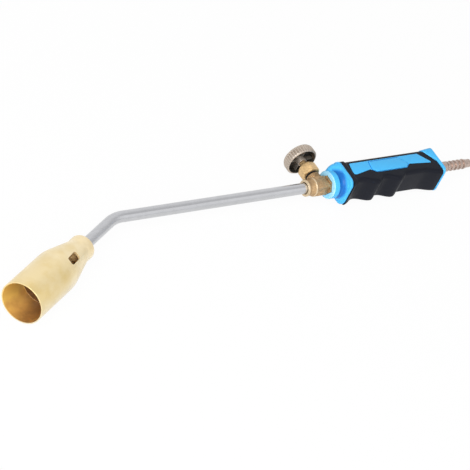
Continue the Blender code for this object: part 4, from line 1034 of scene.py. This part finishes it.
def coreBody():
    # The turned collar with its groove
    front, middle, radius = -handle["collarLength"], handle["flangeThickness"] / 2, handle["collarRadius"]
    groove, grooveStart = radius - handle["grooveDepth"], -handle["flareLength"] - handle["grooveWidth"]
    profile = softened((
        (front, 0), (front, radius, handle["collarRound"]), (grooveStart, radius),
        (grooveStart + handle["grooveDepth"], groove), (middle, groove), (middle, 0)),
        handle["turnedRound"], steps=4)
    return turned("handleCore", profile, handle["steps"], handleTurned)


def inlays():
    # On each side an inlay, and inside its groove the bare plaque
    groove, edge, pads = handle["plaqueGroove"], handle["padRound"], []
    top, middle = grip["half"] + handle["padProud"], (handle["coreRadius"] + grip["half"]) / 2
    for side in (1, -1):
        inlay = pad("inlay", handle["inlay"], handle["coreRadius"] / 2, top, side, 0, edge)
        cut(inlay, pad("plaqueGroove", handle["plaque"], top - groove, top + cutOver, side, groove))
        pads += [inlay, pad("plaque", handle["plaque"], middle, top + handle["plaqueRise"], side, 0, edge)]
    return pads


def handleCore():
    front, span, thickness = -handle["collarLength"], handle["span"], handle["rearThickness"]
    core, recess, steps = coreBody(), handle["recessRadius"], handle["steps"]
    stem = rod("coreStem", front / 2, span - thickness / 2, handle["coreRadius"], handle["stemSteps"],
               handleTurned)
    bossStart = span - handle["recessDepth"] - handle["bossFloor"]
    boss = rod("coreBoss", bossStart, span - thickness / 3, recess + handle["bossWall"], steps, handleTurned)
    pads = inlays()
    flare, plate = flareAndFlange()
    joined(core, plate, flare, stem, boss, rearFlange(), *pads)
    pipe = rod("coreBore", front - cutOver, span + cutOver, torch["pipeBore"], boreSteps, handleTurned)
    pocket = prism("hexagonPocket", hexagon(valve["hexFlats"] + 2 * gap), front - cutOver,
                   front + handle["pocketDepth"], handleTurned)
    tailRecess = rod("tailRecess", span - handle["recessDepth"], span + cutOver, recess, steps, handleTurned)
    cut(core, pipe, pocket, tailRecess)
    shaded(core.data, sharp=35)
    return core


def gripSection(place):
    share = place / handle["span"]
    pastLip = (place - handle["flangeThickness"] - grip["lipLength"]) / grip["lipRamp"]
    lip, depth = grip["lipRise"] * (1 - smoothRise(pastLip)), 0
    for start, end, rise, fall in grip["grooves"]:
        depth += grip["grooveDepth"] * smoothRise((share - start) / rise) * smoothRise((end - share) / fall)
    half, side = grip["half"] + lip, grip["side"] - depth
    return [(place, y, z) for y, z in roundedBox(-side, half, half, grip["corner"], grip["cornerSteps"])]


def handleGrip():
    start, end = handle["flangeThickness"] + grip["frontGap"], handle["span"] - handle["rearThickness"] - gap
    places = [start + (end - start) * step / grip["stations"] for step in range(grip["stations"] + 1)]
    made = skinned("handleGrip", [gripSection(place) for place in places], handleAxis)
    bossStart = handle["span"] - handle["recessDepth"] - handle["bossFloor"] - gap
    stem, boss = handle["coreRadius"] + gap, handle["recessRadius"] + handle["bossWall"] + gap
    bore = rod("gripBore", start - cutOver, end + cutOver, stem, handle["stemSteps"], handleTurned)
    wide = rod("gripCounterbore", bossStart, end + cutOver, boss, handle["stemSteps"], handleTurned)
    cut(made, bore, wide, rearWedge(gap))
    low, high = handle["coreRadius"] / 2 - gap, grip["half"] + grip["lipRise"] + cutOver
    cut(made, *[pad("window", handle["inlay"], low, high, side, grip["windowGap"]) for side in (1, -1)])
    shaded(made.data, sharp=35)
    return made


finishes["core_blue"] = coreFinish()
finishes["grip_rubber"] = rubberFinish("gripRubber", (0.0046, 0.0056, 0.0100))
placed(handleCore(), "torch", "core_blue", "handle_core")
placed(handleGrip(), "torch", "grip_rubber", "handle_grip")
print("handle done")

# Hose tail

tail = {
    "reach": 0.0422, "headFront": 0.0946, "headRadius": 0.0082, "headLength": 0.0065, "socketDepth": 0.0048,
    "neckLength": 0.0150, "root": 0.0036, "bore": 0.0022, "barbs": 5, "pitch": 0.0046, "rise": 0.0009,
    "filterSeat": 0.0032, "filterLength": 0.0025, "gapShare": 0.10, "rootShare": 0.99, "overlap": 0.0004,
    "tipLength": 0.0006, "tipTaper": 0.0008, "turnedRound": 0.0002, "barbRound": 0.0001, "steps": 72,
}


def barbTree():
    # Barbs along the tail: one cone, repeated at an even pitch
    tree, nodes, wires = newTree("tailBarbs", {
        "Count": "Int", "Pitch": "Float", "Depth": "Float", "Root": "Float", "Edge": "Float"})
    lift = nodes.add("ShaderNodeCombineXYZ", None, {"Z": wires["Pitch"]})
    line = nodes.add("GeometryNodeMeshLine", None, {"Count": wires["Count"], "Offset": lift}, "Mesh")
    cone = nodes.add("GeometryNodeMeshCone", None, {
        "Vertices": tail["steps"], "Side Segments": 3, "Radius Top": wires["Root"],
        "Radius Bottom": wires["Edge"], "Depth": wires["Depth"]}, "Mesh")
    barbs = nodes.add("GeometryNodeInstanceOnPoints", None, {"Points": line, "Instance": cone}, "Instances")
    closeTree(nodes, wires, barbs)
    return tree


def tailBarbs(start, tip):
    barbs = grown(linked("tailBarbs", bpy.data.meshes.new("tailBarbs")), barbTree(), {
        "Count": tail["barbs"], "Pitch": tail["pitch"], "Depth": tail["pitch"] * (1 - tail["gapShare"]),
        "Root": tail["root"] * tail["rootShare"], "Edge": tail["root"] + tail["rise"]}, "tail_brass")
    barbs.data.transform(handleTurned @ Matrix.Translation((0, 0, start + tail["pitch"] * tail["gapShare"])))
    radius = tail["root"] - tail["overlap"]
    cut(barbs, rod("tailBore", start - cutOver, tip + cutOver, radius, boreSteps, handleTurned))
    return bevelled(barbs, tail["barbRound"], angle=40)


def hoseTail():
    front, head, root, bore = tail["headFront"], tail["headRadius"], tail["root"], tail["bore"]
    socket, seat, edge = torch["pipeBore"], tail["filterSeat"], root + tail["rise"]
    barbStart, tip = handle["span"] + tail["neckLength"], handle["span"] + tail["reach"]
    headEnd, socketEnd = front + tail["headLength"], front + tail["socketDepth"]
    filterEnd = socketEnd + tail["filterLength"]
    profile = (
        (front, socket), (front, head), (headEnd, head), (headEnd, edge), (barbStart, edge),
        (barbStart, root), (tip - tail["tipLength"], root), (tip, root - tail["tipTaper"]), (tip, bore),
        (filterEnd, bore), (filterEnd, seat), (socketEnd, seat), (socketEnd, socket),
    )
    stem = turned("tailStem", softened(profile, tail["turnedRound"]), tail["steps"], handleTurned)
    return merged("hoseTail", stem, tailBarbs(barbStart, tip))


finishes["tail_brass"] = castMetal(
    "tailBrass", (0.50, 0.395, 0.34), 0.38, grain=1200, pit=0.00003, rubbed=(1.4, 1.4, 1.4), metallic=0.75)
placed(hoseTail(), "torch", "tail_brass", "hose_tail")
print("hose tail done")

# CAD nodes that stay, mostly inside, with their finishes

def nylonFinish():
    look = {"colour": (0.80, 0.78, 0.70), "dullness": 0.82, "cloudScale": 300, "roughness": 0.45}
    material, nodes, shader, where = newFinish("packingNylon", {"Metallic": 0.0})
    cloud = nodes.noise(where, look["cloudScale"])
    nodes.feed(shader, {
        "Base Color": nodes.mixed(cloud, scaledColour(look["colour"], look["dullness"]), look["colour"]),
        "Roughness": look["roughness"] + 0.1 * cloud,
        "Normal": nodes.bump(cloud, 0.00003),
    })
    return material


finishes["packing_nylon"] = nylonFinish()
finishes["seal_rubber"] = rubberFinish("sealRubber", (0.012, 0.012, 0.013))
finishes["jet_brass"] = castMetal("jetBrass", (0.62, 0.45, 0.23), 0.6, grain=1500, pit=0.00002, metallic=0.4)
finishes["sintered_bronze"] = castMetal("sinteredBronze", (0.38, 0.24, 0.11), 0.75, grain=2600, pit=0.00012)
finishes["brazing_filler"] = castMetal("brazingFiller", (0.34, 0.23, 0.10), 0.5, grain=700, pit=0.0001)

slotOf = {row["node"]: row["material_slot"] for row in frame["record"]["subparts"]}
for name, node in frame["nodes"].items():
    if not node.hide_render:
        node.data.materials.clear()
        node.data.materials.append(finishes[slotOf[name]])
print("finishes on the inner pieces done")

# Floor, light and camera

studio = {
    "floorSize": 8.0, "floorDrop": 0.0003, "floorWhite": 0.92, "floorCloud": 0.03, "glow": 0.95,
    "skyFill": 0.42, "backdrop": (0.96, 0.96, 0.97), "backdropRate": 2.2,
    "sky": ((0.0, (0.64, 0.645, 0.66)), (0.35, (0.67, 0.675, 0.69)), (0.6, (0.76, 0.76, 0.77)),
            (0.82, (0.76, 0.76, 0.77)), (0.93, (0.36, 0.365, 0.38))),
    "keyPower": 44.0, "keyPlace": (-1.4, -0.9, 1.4), "keySize": 1.8,
    "fillPower": 3.0, "fillPlace": (1.0, -1.3, 0.9), "fillSize": 1.9,
    "frontPower": 6.0, "frontPlace": (-0.8, -1.8, 0.55), "frontSize": 1.9,
}
# The camera's place is counted from the torch's corner
view = {
    "place": (-0.8967, -0.9074, 1.1113), "right": (0.80760, -0.47858, 0.34459),
    "up": (0.13426, 0.71819, 0.68277), "back": (-0.57424, -0.50514, 0.64427), "lens": 167.93, "sensor": 36,
}


def rayMask(nodes):
    # One for rays from the camera, off shiny metal and through glass
    path = nodes.add("ShaderNodeLightPath").socket.node
    names = ("Is Camera Ray", "Is Glossy Ray", "Is Transmission Ray")
    camera, glossy, through = [Wire(nodes, path.outputs[name]) for name in names]
    return camera.larger(glossy.larger(through))


def makeFloor():
    bm = bmesh.new()
    bmesh.ops.create_grid(bm, x_segments=1, y_segments=1, size=studio["floorSize"])
    floor = objectFrom("floor", bm, Matrix.Translation((0, 0, -studio["floorDrop"])))
    material, nodes, shader, where = newFinish("paleFloor", {"Roughness": 0.9, "Specular IOR Level": 0.1})
    low, high = studio["floorWhite"], studio["floorWhite"] + studio["floorCloud"]
    nodes.feed(shader, {"Base Color": nodes.mixed(nodes.noise(where, 3, 2), (low,) * 3, (high,) * 3)})
    glow = nodes.add("ShaderNodeEmission", None, {"Color": (1, 1, 1, 1), "Strength": 1.0})
    both = nodes.add("ShaderNodeMixShader", None, {
        0: rayMask(nodes) * studio["glow"], 1: Wire(nodes, shader.outputs[0]), 2: glow})
    nodes.feed(nodes.tree.nodes["Material Output"], {"Surface": both})
    floor.data.materials.append(material)


def makeWorld():
    # The sky is bright behind the torch, and dark overhead
    world = bpy.data.worlds.new("paleStudio")
    world.use_nodes = True
    bpy.context.scene.world = world
    nodes = Nodes(world.node_tree)
    _, y, z = nodes.split(nodes.add("ShaderNodeTexCoord", out="Generated"))
    behind = (y * studio["backdropRate"]).clamped()
    sky = nodes.mixed(behind, nodes.ramp(z, *studio["sky"]), studio["backdrop"])
    light = nodes.mixed(rayMask(nodes), (studio["skyFill"],) * 3, sky)
    nodes.feed(world.node_tree.nodes["Background"], {"Color": light, "Strength": 1.0})


def softbox(name):
    light = bpy.data.lights.new(name + "Light", "AREA")
    light.energy, light.size, light.shape = studio[name + "Power"], studio[name + "Size"], "DISK"
    lamp = linked(light.name, light)
    lamp.location = studio[name + "Place"]
    lamp.rotation_euler = (-lamp.location).to_track_quat("-Z", "Y").to_euler()


def makeCamera():
    data = bpy.data.cameras.new("camera")
    data.lens, data.sensor_width = view["lens"], view["sensor"]
    camera = linked("camera", data)
    turn = Matrix([view[side] for side in ("right", "up", "back")]).transposed().to_4x4()
    camera.matrix_world = Matrix.Translation(Vector(torch["corner"]) + Vector(view["place"])) @ turn
    bpy.context.scene.camera = camera


makeFloor()
makeWorld()
for name in ("key", "fill", "front"):
    softbox(name)
makeCamera()
bpy.context.scene.view_settings.view_transform = "Standard"
print("studio done")
